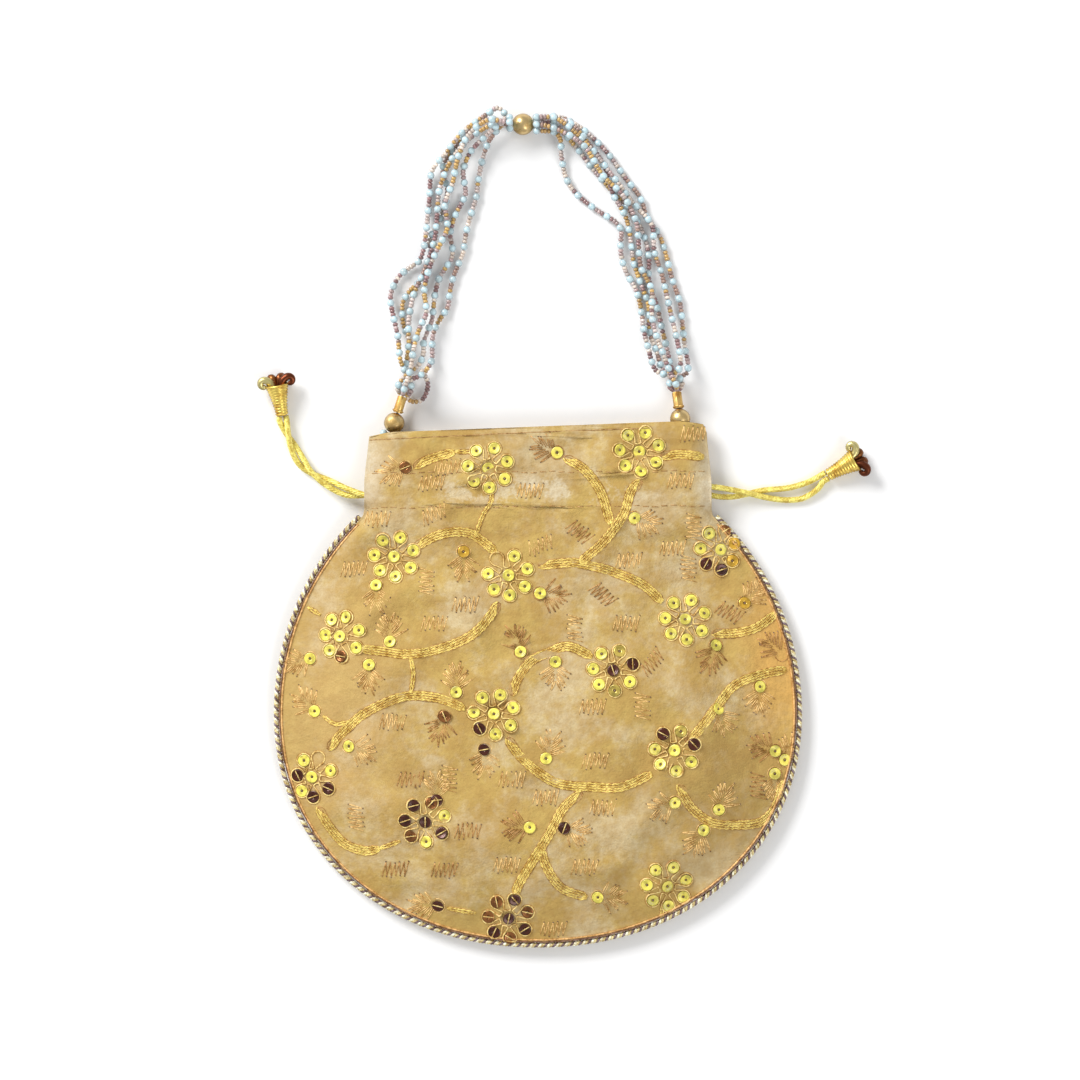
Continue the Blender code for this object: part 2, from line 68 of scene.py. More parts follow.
BODY_Y = -0.072
BODY_HALF = 0.1001
BODY_UP = 0.1029
BODY_DOWN = 0.0886
LOW_POWER = 2.1
NECK_HALF = 0.0665
RIM_Y = 0.0384
RIM_SLOPE = 0.037
SEAM_BODY = 0.0046
SEAM_NECK = 0.0067

TURN_X = 0.0560
TURN_RADIUS = 0.00455
TUNNEL_FRONT = 0.01135
TUNNEL_BACK = 0.00225
LEFT_CORD_Y = 0.0108
RIGHT_CORD_Y = 0.0154

CONE_LONG = 0.0123
CONE_THROAT = 0.0022
CONE_MOUTH = 0.0045
LEFT_CONE = ((-0.0990, 0.0434, 0.0027), (-0.167, 0.966, 0.20))
RIGHT_CONE = ((0.1124, 0.0202, 0.0027), (0.857, 0.476, 0.20))

TOP_BALL = (-0.0058, 0.1558, 0.0044)
TOP_BALL_RADIUS = 0.0042
END_BALL_RADIUS = 0.00395
LEFT_BALL = (-0.0556, 0.0403, 0.0042)
LEFT_AXIS = (0.30, 0.953, -0.02)
RIGHT_BALL = (0.0550, 0.0418, 0.0064)
RIGHT_AXIS = (-0.13, 0.97, -0.20)
TUBE_RADIUS = 0.0019
TUBE_LONG = 0.0065
LEFT_PEARL = (-0.0597, 0.0364, 0.0040)
RIGHT_PEARL = (0.0566, 0.0352, 0.0058)
STRING = 0.0020
STRING_SPACE = 0.00250
STRING_SLOPE = 0.30
STRING_REACH = 4
STRING_ENDS = (-1.3, 1.3, 0, -2.6, 2.6, 0)

# Routes of the handle's strings in plan, in mm, from the top ball to the end tube.
LEFT_STRINGS = (
    ((-17, 158), (-25, 155), (-32, 147), (-37, 139), (-35, 130), (-38, 119), (-42, 111),
     (-41, 103), (-46, 95), (-52, 88), (-52, 78), (-49, 70), (-51, 62)),
    ((-18, 151), (-21, 144), (-23, 135), (-24, 127), (-26, 121), (-28, 113), (-29, 106),
     (-32, 99), (-34, 92), (-35, 85), (-39, 79), (-41, 72), (-41, 65), (-45, 59)),
    ((-19, 155), (-28, 149), (-34, 141), (-38, 131), (-39, 121), (-40, 111), (-44, 99),
     (-48, 90), (-50, 80), (-50, 71), (-51, 62)),
    ((-14, 162), (-22, 158), (-30, 152), (-36, 144), (-41, 138), (-42, 127), (-43, 117),
     (-44, 109), (-46, 103), (-53, 98), (-57, 90), (-56, 82), (-54, 73), (-53, 64)),
    ((-19, 152), (-26, 145), (-29, 137), (-28, 129), (-32, 121), (-34, 113), (-33, 105),
     (-38, 97), (-40, 89), (-41, 80), (-44, 72), (-45, 64)),
    ((-19, 157), (-27, 151), (-31, 142), (-33, 133), (-36, 125), (-35, 116), (-39, 107),
     (-42, 100), (-44, 91), (-43, 83), (-46, 76), (-48, 68), (-49, 61)),
)
RIGHT_STRINGS = (
    ((6, 156), (14, 148), (21, 139), (28, 131), (36, 122), (41, 113), (43, 104), (43, 95),
     (46, 86), (48, 77), (50, 69), (52, 60)),
    ((7, 159), (16, 155), (26, 146), (34, 135), (40, 127), (42, 120), (47, 113), (50, 104),
     (52, 96), (55, 87), (56, 78), (57, 69), (58, 60)),
    ((11, 157), (20, 148), (26, 139), (29, 129), (34, 120), (36, 111), (37, 103), (40, 94),
     (43, 85), (43, 76), (46, 68), (48, 61)),
    ((8, 152), (9, 144), (11, 135), (15, 129), (21, 124), (27, 120), (32, 116), (32, 107),
     (34, 99), (38, 92), (40, 84), (41, 76), (43, 68), (46, 60)),
    ((7, 158), (16, 151), (24, 142), (31, 133), (37, 125), (44, 117), (45, 107), (48, 98),
     (50, 89), (52, 80), (54, 71), (55, 62)),
    ((9, 153), (18, 147), (25, 136), (33, 128), (38, 118), (39, 109), (40, 100), (44, 92),
     (44, 82), (46, 73), (49, 65), (51, 59)),
)

# A short loop of seed beads beside the left tube, in mm.
LOOSE_LOOP = ((-45.2, 61, 3.8), (-42.6, 55.5, 2.6), (-44.5, 49.6, 2.0), (-48.6, 48.6, 2.2), (-51, 50.4, 3.4))

# The drawcords' free stretches, in mm, from the neck outwards.
LEFT_PAIR = (
    (-66.3, 12.2, 6.6), (-74.0, 13.6, 4.4), (-81.8, 17.4, 2.7), (-88.0, 21.3, 2.55),
    (-91.8, 25.6, 2.55), (-94.9, 31.4, 2.55), (-97.3, 37.0, 2.6), (-98.6, 41.2, 2.7),
)
PAIR_RADIUS = 1.35
PAIR_TURN = 450
RIGHT_UPPER = (
    (61, 15.4, 9.6), (67.4, 15.5, 8.2), (74, 14.6, 6.0), (81.8, 13.0, 4.0),
    (89, 11.3, 2.2), (96.5, 10.5, 1.3), (102.7, 11.2, 1.3), (108.2, 14.6, 1.7),
)
RIGHT_LOWER = (
    (61, 14.6, 3.9), (67.6, 12.2, 4.9), (75, 11.7, 2.6), (81.8, 13.0, 1.35),
    (87.6, 14.3, 1.3), (96.5, 15.1, 1.3), (103.5, 17.0, 1.5), (107.6, 18.9, 2.0),
)

# ---------------------------------------------------------------- embroidery layout, in mm

# Flowers: middle, colour of the middle sequin, colours of the seven petals by PETAL_ANGLES.
# y yellow, d dark, b brown, a amber, o olive, - a thread loop with no sequin.
PETAL_ANGLES = (125, 72, 18, -34, -86, -135, 176)
FLOWERS = (
    (-19.2, 22.9, "y", "yyyyyyy"), (39.1, 29.1, "y", "yyyyyyy"), (-55.4, -11.4, "y", "yyyyyyy"),
    (-11.4, -18.6, "y", "-yyyyyy"), (-76.3, -42.2, "y", "yyyybyy"), (70.5, -8.7, "y", "ybaaddy"),
    (56.8, -35.7, "y", "yyyyyyy"), (29.0, -55.2, "d", "yodyoyy"), (-16.9, -72.0, "y", "yyyyydy"),
    (52.7, -86.0, "y", "dodyyyy"), (-87.2, -96.5, "y", "y-yddyd"), (-43.4, -113.5, "d", "dbydybd"),
    (-11.4, -151.0, "d", "bdbdbdb"), (49.8, -138.6, "y", "yyyyyyy"),
)
# Single sequins: place, colour, way that the leaf spray points in degrees.
SINGLES = (
    (-51.1, 22.9, "b", 200), (7.4, 28.7, "y", 157), (37.2, 3.5, "y", -20), (-28.7, -9.5, "a", -90),
    (-62.4, -22.5, "y", -90), (0.8, -25.6, "y", -10), (-57, -44.2, "y", 90), (-88, -50.8, "y", 200),
    (-65.1, -53.1, "y", -90), (-6.6, -48.1, "y", 110), (6.8, -51.9, "y", -90), (-86.2, -71.1, "y", 135),
    (-31.4, -63.6, "y", 90), (-36, -72.9, "b", 250), (-72.7, -84.5, "y", -20), (-20.5, -85.6, "d", -90),
    (3.1, -89.1, "y", 70), (68.6, -45.7, "y", 250), (79.8, -29.4, "a", 45), (85.6, -61.6, "y", -90),
    (69.4, -70.1, "y", -70), (94.2, -49.2, "-", 135), (52.7, -106.2, "y", 200), (69.8, -108.9, "y", 70),
    (63.9, -117, "y", 240), (-3.1, -115.5, "y", 180), (10.1, -115.9, "d", -20), (23.2, -142.8, "y", 0),
    (-38.6, -146.1, "d", 180), (91.6, -86.6, "y", 160), (95.4, -90.0, "y", 60), (91.5, -95.3, "y", -90),
    (-39.1, -105.2, "d", 90),
)
# Zigzag fillings: middle, turn in degrees, 1 where the thread is brown.
ZIGZAGS = (
    (-35, 23, 0, 0), (-41, 17, 0, 0), (-3, 14, 0, 0), (55, 18, 0, 0), (60, 36, 0, 0), (-40, 5, 20, 0),
    (-62, 3, 0, 0), (16, -2, -40, 1), (1, -7, 20, 0), (35, -13, 0, 0), (25, -26, -45, 1), (14, -39, 90, 0),
    (34, -37, 0, 0), (60, 0, 90, 0), (52, -8, 0, 0), (58, -16, 90, 0), (74, -33, -30, 1), (44, -52, 45, 1),
    (21, -69, 0, 0), (40, -69, 90, 0), (22, -90, 0, 0), (25, -108, 0, 0), (18, -131, 0, 0), (6, -155, 0, 0),
    (85, -100, 90, 1), (-71, -16, 0, 0), (-43, -21, 90, 0), (-28, -30, 0, 0), (-40, -37, 0, 0),
    (-56, -75, 0, 0), (-49, -97, 0, 1), (-34, -97, 90, 0), (-70, -112, 90, 0), (-10, -97, 0, 0),
    (-27, -117, 0, 1), (-55, -132, 0, 1), (-36, -132, 0, 1), (-12, -130, 0, 0), (3, -104, 0, 0),
)
# Vine stems of several rows of chain stitch.
VINES = (
    ((-48, 23), (-42, 26), (-32, 29)),
    ((-48, -8), (-38, -3), (-28, -2), (-22, -5), (-16, -10)),
    ((10, 27), (18, 22), (24, 14), (27, 5), (28, 1)),
    ((40, 18), (36, 14), (33, 5), (26, -5), (16, -14)),
    ((0, -15), (9, -14), (16, -14), (28, -17), (40, -22), (48, -29)),
    ((47, 27), (55, 28), (64, 27)),
    ((-15, -29), (-19, -35), (-26, -42), (-38, -47), (-50, -49), (-59, -48), (-68, -47)),
    ((-81, -86), (-75, -79), (-67, -72), (-57, -67), (-49, -65), (-38, -66), (-28, -70)),
    ((-10, -65), (-8, -59), (-3, -52), (5, -48), (12, -46), (21, -50)),
    ((-12, -81), (-7, -88), (1, -95), (9, -99), (20, -100), (32, -100), (44, -95)),
    ((17, -102), (10, -108), (5, -117), (-1, -127), (-7, -137), (-9, -142)),
    ((1, -121), (3, -130), (9, -139), (19, -143)),
    ((54, -99), (59, -108), (67, -114), (76, -115), (86, -114), (92, -108), (95, -98)),
    ((57, -83), (63, -77), (69, -69), (76, -61), (86, -57), (96, -55)),
    ((67, -41), (76, -41), (84, -39), (90, -35), (92, -33)),
    ((-85, -108), (-81, -115), (-75, -122), (-67, -125), (-61, -124)),
)
# Stems of two rows only.
THIN_VINES = (
    ((-32, 29), (-24, 29)), ((-18, 15), (-18, 10), (-21, 5), (-24, -3)),
    ((-49, -50), (-48, -57), (-49, -64)), ((-83, -73), (-78, -76), (-73, -75)),
    ((-61, -124), (-53, -121)), ((-35, -147), (-30, -148), (-24, -149)),
    ((-89, -31), (-84, -34)), ((48, -146), (48, -152)),
)
# Soft creases of the front: middle, way it runs, half length, half width, height in mm.
CREASES = (
    (30, -125, 10, 20, 4, -1.0), (38, -128, 20, 16, 3, 0.8), (-5, -8, 60, 18, 5, 0.8),
    (-30, -55, -20, 24, 6, -0.8), (55, -60, 70, 20, 6, 0.8), (-60, -30, 40, 22, 5, 0.7),
    (70, -30, 100, 24, 5, -0.9), (15, -75, -35, 25, 7, 0.7), (-70, -90, 60, 20, 6, 0.8),
    (60, -110, 40, 22, 5, -0.8), (-20, -120, 5, 25, 6, 0.7), (-45, 0, -10, 20, 4, 0.6),
    (40, -5, 15, 22, 4, 0.6), (0, 0, 0, 40, 4, -0.6), (85, -70, 95, 18, 4, 0.8),
)

# Crumpling of the cloth: folds to a metre, their height in mm, and a layer of the noise.
CRUMPLE = ((24, 2.6, 0.3), (52, 2.0, 1.7), (105, 0.95, 3.1))

# ---------------------------------------------------------------- settings


class PotliSettings(bpy.types.PropertyGroup):
    velvet: bpy.props.FloatVectorProperty(
        name="Velvet", description="Main colour of the cloth", subtype="COLOR", size=3,
        default=(0.515, 0.357, 0.108))
    velvet_worn: bpy.props.FloatVectorProperty(
        name="Worn velvet", description="Colour where the pile is rubbed flat", subtype="COLOR",
        size=3, default=(0.66, 0.57, 0.39))
    velvet_deep: bpy.props.FloatVectorProperty(
        name="Deep velvet", description="Colour of the shaded pile", subtype="COLOR", size=3,
        default=(0.38, 0.225, 0.065))
    gold_thread: bpy.props.FloatVectorProperty(
        name="Gold thread", description="Colour of the bright embroidery thread",
        subtype="COLOR", size=3, default=(0.90, 0.64, 0.15))
    # also the colour of the painted shade lines beside the vines and under the petal loops
    brown_thread_and_shade: bpy.props.FloatVectorProperty(
        name="Brown thread", description="Colour of the dull embroidery thread",
        subtype="COLOR", size=3, default=(0.50, 0.27, 0.07))
    tan_thread: bpy.props.FloatVectorProperty(
        name="Tan thread", description="Colour of the petal loops and leaves",
        subtype="COLOR", size=3, default=(0.82, 0.54, 0.20))
    cord_colour: bpy.props.FloatVectorProperty(
        name="Drawcord", description="Colour of the metallic drawcord", subtype="COLOR",
        size=3, default=(0.78, 0.70, 0.16))
    thread_width: bpy.props.FloatProperty(
        name="Thread", description="Thickness of the embroidery thread", default=0.00045,
        unit="LENGTH")
    sequin_radius: bpy.props.FloatProperty(
        name="Sequin radius", description="Radius of one sequin", default=0.0023,
        unit="LENGTH")
    petal_reach: bpy.props.FloatProperty(
        name="Petal reach", description="From a flower's middle to its petals' sequins",
        default=0.0077, unit="LENGTH")
    pearl_radius: bpy.props.FloatProperty(
        name="Pearl radius", description="Radius of the handle's pearls", default=0.00148,
        unit="LENGTH")
    seed_radius: bpy.props.FloatProperty(
        name="Seed bead radius", description="Radius of the handle's seed beads",
        default=0.00106, unit="LENGTH")


# ---------------------------------------------------------------- small helpers


def clamp(value, low=0.0, high=1.0):
    return max(low, min(high, value))


def ease(value):
    value = clamp(value)
    return value * value * (3 - 2 * value)


def mix(a, b, share):
    return a + (b - a) * share


def in_metres(points):
    return [Vector(p) * MM for p in points]


def flat_points(points):
    return [Vector((x * MM, y * MM, 0)) for x, y in points]


def catmull(points, steps=24):
    """A smooth curve through the points, densely sampled."""
    ends = [points[0] * 2 - points[1], *points, points[-1] * 2 - points[-2]]
    found = []
    for i in range(1, len(ends) - 2):
        a, b, c, d = ends[i - 1 : i + 3]
        for k in range(steps):
            t = k / steps
            found.append(
                0.5 * (2 * b + (c - a) * t + (2 * a - 5 * b + 4 * c - d) * t * t
                       + (3 * b - 3 * c + d - a) * t ** 3)
            )
    found.append(points[-1])
    return found


def respaced(line, step):
    """The same line with its points a step apart."""
    along = [0.0]
    for a, b in zip(line, line[1:]):
        along.append(along[-1] + (b - a).length)
    count = max(2, round(along[-1] / step) + 1)
    found = []
    index = 0
    for k in range(count):
        at = along[-1] * k / (count - 1)
        while index < len(line) - 2 and along[index + 1] < at:
            index += 1
        share = (at - along[index]) / max(along[index + 1] - along[index], 1e-9)
        found.append(line[index].lerp(line[index + 1], clamp(share)))
    return found


def line_length(line):
    return sum((b - a).length for a, b in zip(line, line[1:]))


def tangent(line, i):
    return (line[min(i + 1, len(line) - 1)] - line[max(i - 1, 0)]).normalized()


def frame_at(place, axis, roll=0.0):
    """A matrix at place whose Z runs along axis."""
    turn = Vector((0, 0, 1)).rotation_difference(Vector(axis).normalized())
    return (Matrix.Translation(place) @ turn.to_matrix().to_4x4()
            @ Matrix.Rotation(roll, 4, "Z"))


def settings():
    return bpy.context.scene.potli_settings


def deselect():
    if bpy.context.mode != "OBJECT":
        bpy.ops.object.mode_set(mode="OBJECT")
    bpy.ops.object.select_all(action="DESELECT")


def pick(obj):
    deselect()
    bpy.context.view_layer.objects.active = obj
    obj.select_set(True)
    return obj


def settle(obj, name, material, body, slot, *nodes):
    """Names a finished piece, gives it its finish and puts it on its body."""
    pick(obj)
    bpy.ops.object.transform_apply(location=True, rotation=True, scale=True)
    obj.name = name
    obj.data.name = name
    obj.data.materials.clear()
    obj.data.materials.append(material)
    if body:
        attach(obj, body)
    if nodes:
        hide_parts(*nodes)
    return obj


def shade(obj, angle=40):
    pick(obj)
    bpy.ops.object.shade_smooth_by_angle(angle=math.radians(angle))


def threads(name, lines, width, sides=1, radii=None):
    """Many thread lines as one mesh of thin tubes."""
    curve = bpy.data.curves.new(name, "CURVE")
    curve.dimensions = "3D"
    curve.bevel_depth = width / 2
    curve.bevel_resolution = sides
    curve.use_fill_caps = True
    for line in lines:
        spline = curve.splines.new("POLY")
        spline.points.add(len(line) - 1)
        for i, (point, place) in enumerate(zip(spline.points, line)):
            point.co = (*place, 1)
            if radii:
                point.radius = radii[i % len(radii)]
    obj = bpy.data.objects.new(name, curve)
    bpy.context.scene.collection.objects.link(obj)
    pick(obj)
    bpy.ops.object.convert(target="MESH")
    obj = bpy.context.view_layer.objects.active
    bpy.ops.object.mode_set(mode="EDIT")
    bpy.ops.mesh.select_all(action="SELECT")
    bpy.ops.mesh.remove_doubles(threshold=1e-6)
    bpy.ops.mesh.normals_make_consistent(inside=False)
    bpy.ops.object.mode_set(mode="OBJECT")
    obj.data.shade_smooth()
    return obj


def stamped(name, template, places, tints=None):
    """Copies of a template mesh at each matrix, joined in one mesh, each with its tint."""
    count = len(template.vertices)
    corners = np.empty(count * 3)
    template.vertices.foreach_get("co", corners)
    corners = np.c_[corners.reshape(-1, 3), np.ones(count)]
    faces = [tuple(p.vertices) for p in template.polygons]
    points = np.concatenate([corners @ np.array(m).T for m in places])[:, :3]
    all_faces = [tuple(v + k * count for v in f) for k in range(len(places)) for f in faces]
    mesh = bpy.data.meshes.new(name)
    mesh.from_pydata(points.tolist(), [], all_faces)
    if tints is not None:
        layer = mesh.color_attributes.new("tint", "FLOAT_COLOR", "POINT")
        colours = np.repeat(np.array([(*t, 1) for t in tints]), count, axis=0)
        layer.data.foreach_set("color", colours.ravel())
    mesh.shade_smooth()
    obj = bpy.data.objects.new(name, mesh)
    bpy.context.scene.collection.objects.link(obj)
    return obj


def template_from(obj):
    """The mesh of a piece modelled once, taken off its object."""
    mesh = obj.data
    bpy.data.objects.remove(obj)
    return mesh


def spun(profile, steps, place=(0, 0, 0), axis=(0, 0, 1)):
    """A closed profile of (radius, height) spun once round, as one closed piece."""
    mesh = bpy.data.meshes.new("spun")
    mesh.from_pydata([(r, 0, z) for r, z in profile],
                     [(i, (i + 1) % len(profile)) for i in range(len(profile))], [])
    obj = bpy.data.objects.new("spun", mesh)
    bpy.context.scene.collection.objects.link(obj)
    pick(obj)
    bpy.ops.object.mode_set(mode="EDIT")
    bpy.ops.mesh.select_all(action="SELECT")
    bpy.ops.mesh.spin(steps=steps, dupli=False, angle=2 * math.pi, center=(0, 0, 0),
                      axis=(0, 0, 1))
    bpy.ops.mesh.select_all(action="SELECT")
    bpy.ops.mesh.remove_doubles(threshold=1e-6)
    bpy.ops.mesh.normals_make_consistent(inside=False)
    bpy.ops.object.mode_set(mode="OBJECT")
    obj.data.shade_smooth()
    obj.data.transform(frame_at(place, axis))
    return obj


# ---------------------------------------------------------------- shader groups and materials


def group(name, inputs, outputs):
    """An empty shader group with named sockets, and its two ends."""
    made = bpy.data.node_groups.new(name, "ShaderNodeTree")
    for label, kind, value in inputs:
        socket = made.interface.new_socket(label, in_out="INPUT", socket_type=kind)
        if value is not None:
            socket.default_value = value
    for label, kind in outputs:
        made.interface.new_socket(label, in_out="OUTPUT", socket_type=kind)
    return made, made.nodes.new("NodeGroupInput"), made.nodes.new("NodeGroupOutput")


def node(tree, kind, **values):
    made = tree.nodes.new(kind)
    for key, value in values.items():
        if hasattr(made, key):
            setattr(made, key, value)
    return made


def math_node(tree, operation, a, b=None):
    made = node(tree, "ShaderNodeMath", operation=operation)
    for socket, value in zip(made.inputs, (a, b)):
        if value is None:
            continue
        if isinstance(value, (int, float)):
            socket.default_value = value
        else:
            tree.links.new(value, socket)
    return made.outputs[0]


def noise_of(tree, vector, scale, detail=2.0, rough=0.5):
    made = node(tree, "ShaderNodeTexNoise")
    made.inputs["Scale"].default_value = scale
    made.inputs["Detail"].default_value = detail
    made.inputs["Roughness"].default_value = rough
    tree.links.new(vector, made.inputs["Vector"])
    return made.outputs["Fac"]


def ramp_of(tree, value, low, high):
    made = node(tree, "ShaderNodeMapRange", interpolation_type="SMOOTHSTEP")
    made.inputs["From Min"].default_value = low
    made.inputs["From Max"].default_value = high
    tree.links.new(value, made.inputs["Value"])
    return made.outputs["Result"]


def blend_of(tree, share, a, b):
    made = node(tree, "ShaderNodeMix", data_type="RGBA")
    for socket, value in zip((made.inputs[0], made.inputs[6], made.inputs[7]), (share, a, b)):
        if isinstance(value, tuple):
            socket.default_value = (*value[:3], 1)
        elif isinstance(value, float):
            socket.default_value = value
        else:
            tree.links.new(value, socket)
    return made.outputs[2]


def wear_and_shade_group():
    """Patches where a surface is rubbed, also used for painted shade on the velvet: a broad mask broken up
    by a finer one.
    """
    if "Rubbed and shaded patches" in bpy.data.node_groups:
        return bpy.data.node_groups["Rubbed and shaded patches"]
    made, start, end = group(
        "Rubbed and shaded patches",
        [("Vector", "NodeSocketVector", None), ("Scale", "NodeSocketFloat", 30.0),
         ("Low", "NodeSocketFloat", 0.5), ("High", "NodeSocketFloat", 0.7)],
        [("Mask", "NodeSocketFloat")])
    broad = node(made, "ShaderNodeTexNoise")
    broad.inputs["Detail"].default_value = 4
    made.links.new(start.outputs["Vector"], broad.inputs["Vector"])
    made.links.new(start.outputs["Scale"], broad.inputs["Scale"])
    fine = node(made, "ShaderNodeTexNoise")
    fine.inputs["Detail"].default_value = 3
    made.links.new(start.outputs["Vector"], fine.inputs["Vector"])
    made.links.new(math_node(made, "MULTIPLY", start.outputs["Scale"], 9.0),
                   fine.inputs["Scale"])
    total = math_node(made, "ADD", math_node(made, "MULTIPLY", broad.outputs["Fac"], 0.75),
                      math_node(made, "MULTIPLY", fine.outputs["Fac"], 0.25))
    spread = node(made, "ShaderNodeMapRange", interpolation_type="SMOOTHSTEP")
    made.links.new(total, spread.inputs["Value"])
    made.links.new(start.outputs["Low"], spread.inputs["From Min"])
    made.links.new(start.outputs["High"], spread.inputs["From Max"])
    made.links.new(spread.outputs["Result"], end.inputs["Mask"])
    return made


def fibre_group():
    """Fine grain of pile or yarn, as a height and a value that varies over the surface."""
    if "Fibre grain" in bpy.data.node_groups:
        return bpy.data.node_groups["Fibre grain"]
    made, start, end = group(
        "Fibre grain",
        [("Vector", "NodeSocketVector", None), ("Scale", "NodeSocketFloat", 900.0)],
        [("Height", "NodeSocketFloat"), ("Value", "NodeSocketFloat")])
    fine = node(made, "ShaderNodeTexNoise")
    fine.inputs["Detail"].default_value = 2
    made.links.new(start.outputs["Vector"], fine.inputs["Vector"])
    made.links.new(start.outputs["Scale"], fine.inputs["Scale"])
    coarse = node(made, "ShaderNodeTexNoise")
    coarse.inputs["Detail"].default_value = 2
    made.links.new(start.outputs["Vector"], coarse.inputs["Vector"])
    made.links.new(math_node(made, "MULTIPLY", start.outputs["Scale"], 0.3),
                   coarse.inputs["Scale"])
    height = math_node(made, "ADD", fine.outputs["Fac"], coarse.outputs["Fac"])
    made.links.new(height, end.inputs["Height"])
    made.links.new(math_node(made, "MULTIPLY", height, 0.5), end.inputs["Value"])
    return made


def new_material(name, rough, metal=0.0):
    """A fresh material, its tree, its shader and the Object coordinates."""
    made = bpy.data.materials.new(name)
    made.use_nodes = True
    tree = made.node_tree
    shader = tree.nodes["Principled BSDF"]
    shader.inputs["Roughness"].default_value = rough
    shader.inputs["Metallic"].default_value = metal
    where = node(tree, "ShaderNodeTexCoord").outputs["Object"]
    return made, tree, shader, where


def use_group(tree, source, where, **values):
    made = tree.nodes.new("ShaderNodeGroup")
    made.node_tree = source
    tree.links.new(where, made.inputs["Vector"])
    for key, value in values.items():
        made.inputs[key].default_value = value
    return made


def add_bump(tree, shader, height, strength, distance):
    bump = node(tree, "ShaderNodeBump")
    bump.inputs["Strength"].default_value = strength
    bump.inputs["Distance"].default_value = distance
    tree.links.new(height, bump.inputs["Height"])
    tree.links.new(bump.outputs["Normal"], shader.inputs["Normal"])


def velvet_material(name="velvet_cloth", plain=False):
    """Short-pile velvet: rubbed pale patches, deeper areas of painted shade, painted shade where the pile is
    brushed one way, and a fine pile.
    """
    options = settings()
    made, tree, shader, where = new_material(name, 0.88)
    worn = use_group(tree, wear_and_shade_group(), where, Scale=48.0, Low=0.44, High=0.66)
    # painted shade: broad patches darkened toward the shaded pile colour
    shade_patches = use_group(tree, wear_and_shade_group(), where, Scale=75.0, Low=0.42, High=0.62)
    pile = use_group(tree, fibre_group(), where, Scale=1300.0)
    brushed = use_group(tree, fibre_group(), where, Scale=230.0)
    base = blend_of(tree, math_node(tree, "MULTIPLY", shade_patches.outputs["Mask"], 0.50),
                    tuple(options.velvet), tuple(options.velvet_deep))
    base = blend_of(tree, math_node(tree, "MULTIPLY", worn.outputs["Mask"], 0.60), base,
                    tuple(options.velvet_worn))
    # painted shade where the pile is brushed the dark way
    pile_shade = ramp_of(tree, brushed.outputs["Value"], 0.40, 0.60)
    base = blend_of(tree, math_node(tree, "MULTIPLY", pile_shade, 0.36), base,
                    tuple(options.velvet_deep))
    if not plain:
        base = shaded_zone(tree, where, base)
    speck = ramp_of(tree, pile.outputs["Value"], 0.38, 0.62)
    dark = blend_of(tree, 0.28, base, tuple(options.velvet_deep))
    tree.links.new(blend_of(tree, speck, dark, base), shader.inputs["Base Color"])
    shader.inputs["Sheen Weight"].default_value = 0.35
    shader.inputs["Sheen Roughness"].default_value = 0.45
    shader.inputs["Sheen Tint"].default_value = (0.95, 0.76, 0.42, 1)
    shader.inputs["Specular IOR Level"].default_value = 0.2
    height = math_node(tree, "ADD", pile.outputs["Height"],
                       math_node(tree, "MULTIPLY", brushed.outputs["Height"], 3.0))
    add_bump(tree, shader, height, 0.55, 0.0004)
    return made


def spot(tree, where, centre, spread):
    """A soft oval mask round a place on the cloth, in metres."""
    shift = node(tree, "ShaderNodeMapping", vector_type="TEXTURE")
    shift.inputs["Location"].default_value = (*centre, 0)
    shift.inputs["Scale"].default_value = (*spread, 1)
    tree.links.new(where, shift.inputs["Vector"])
    length = node(tree, "ShaderNodeVectorMath", operation="LENGTH")
    tree.links.new(shift.outputs["Vector"], length.inputs[0])
    return ramp_of(tree, length.outputs["Value"], 1.0, 0.25)


def shaded_zone(tree, where, base):
    """Painted shade low on the right, warm painted light along the right edge and paler painted light on the
    left; paler at the neck's sides and in patches along the casing.
    """
    # painted shade: darker low on the right
    low = spot(tree, where, (0.070, -0.108), (0.042, 0.040))
    base = blend_of(tree, math_node(tree, "MULTIPLY", low, 0.32), base, (0.30, 0.19, 0.06))
    # painted light: a warm lit band along the right edge
    edge = spot(tree, where, (0.094, -0.048), (0.020, 0.048))
    base = blend_of(tree, math_node(tree, "MULTIPLY", edge, 0.55), base, (0.80, 0.44, 0.12))
    # painted light: a little paler on the left
    left = spot(tree, where, (-0.078, -0.070), (0.036, 0.070))
    base = blend_of(tree, math_node(tree, "MULTIPLY", left, 0.40), base, (0.55, 0.37, 0.16))
    for x in (-0.068, 0.068):
        side = spot(tree, where, (x, 0.020), (0.012, 0.024))
        base = blend_of(tree, math_node(tree, "MULTIPLY", side, 0.5), base, (0.66, 0.62, 0.52))
    casing = spot(tree, where, (0.0, 0.014), (0.075, 0.009))
    patches = use_group(tree, wear_and_shade_group(), where, Scale=90.0, Low=0.48, High=0.58)
    both = math_node(tree, "MULTIPLY", casing, patches.outputs["Mask"])
    return blend_of(tree, math_node(tree, "MULTIPLY", both, 0.5), base, (0.74, 0.68, 0.52))


def thread_material(name, colour, shine=0.12, depth=0.50):
    """Metallic yarn: the colour glints and darkens along each stitch, as painted highlight and painted
    shade.
    """
    made, tree, shader, where = new_material(name, 0.42, shine)
    yarn = use_group(tree, fibre_group(), where, Scale=1300.0)
    glint = ramp_of(tree, yarn.outputs["Value"], 0.36, 0.64)
    dark = tuple(c * depth * warm for c, warm in zip(colour, (1.15, 0.92, 0.60)))
    light = tuple(min(1.0, c * 1.2 + 0.05) for c in colour)
    tree.links.new(blend_of(tree, glint, dark, light), shader.inputs["Base Color"])
    add_bump(tree, shader, yarn.outputs["Height"], 0.4, 0.0002)
    return made


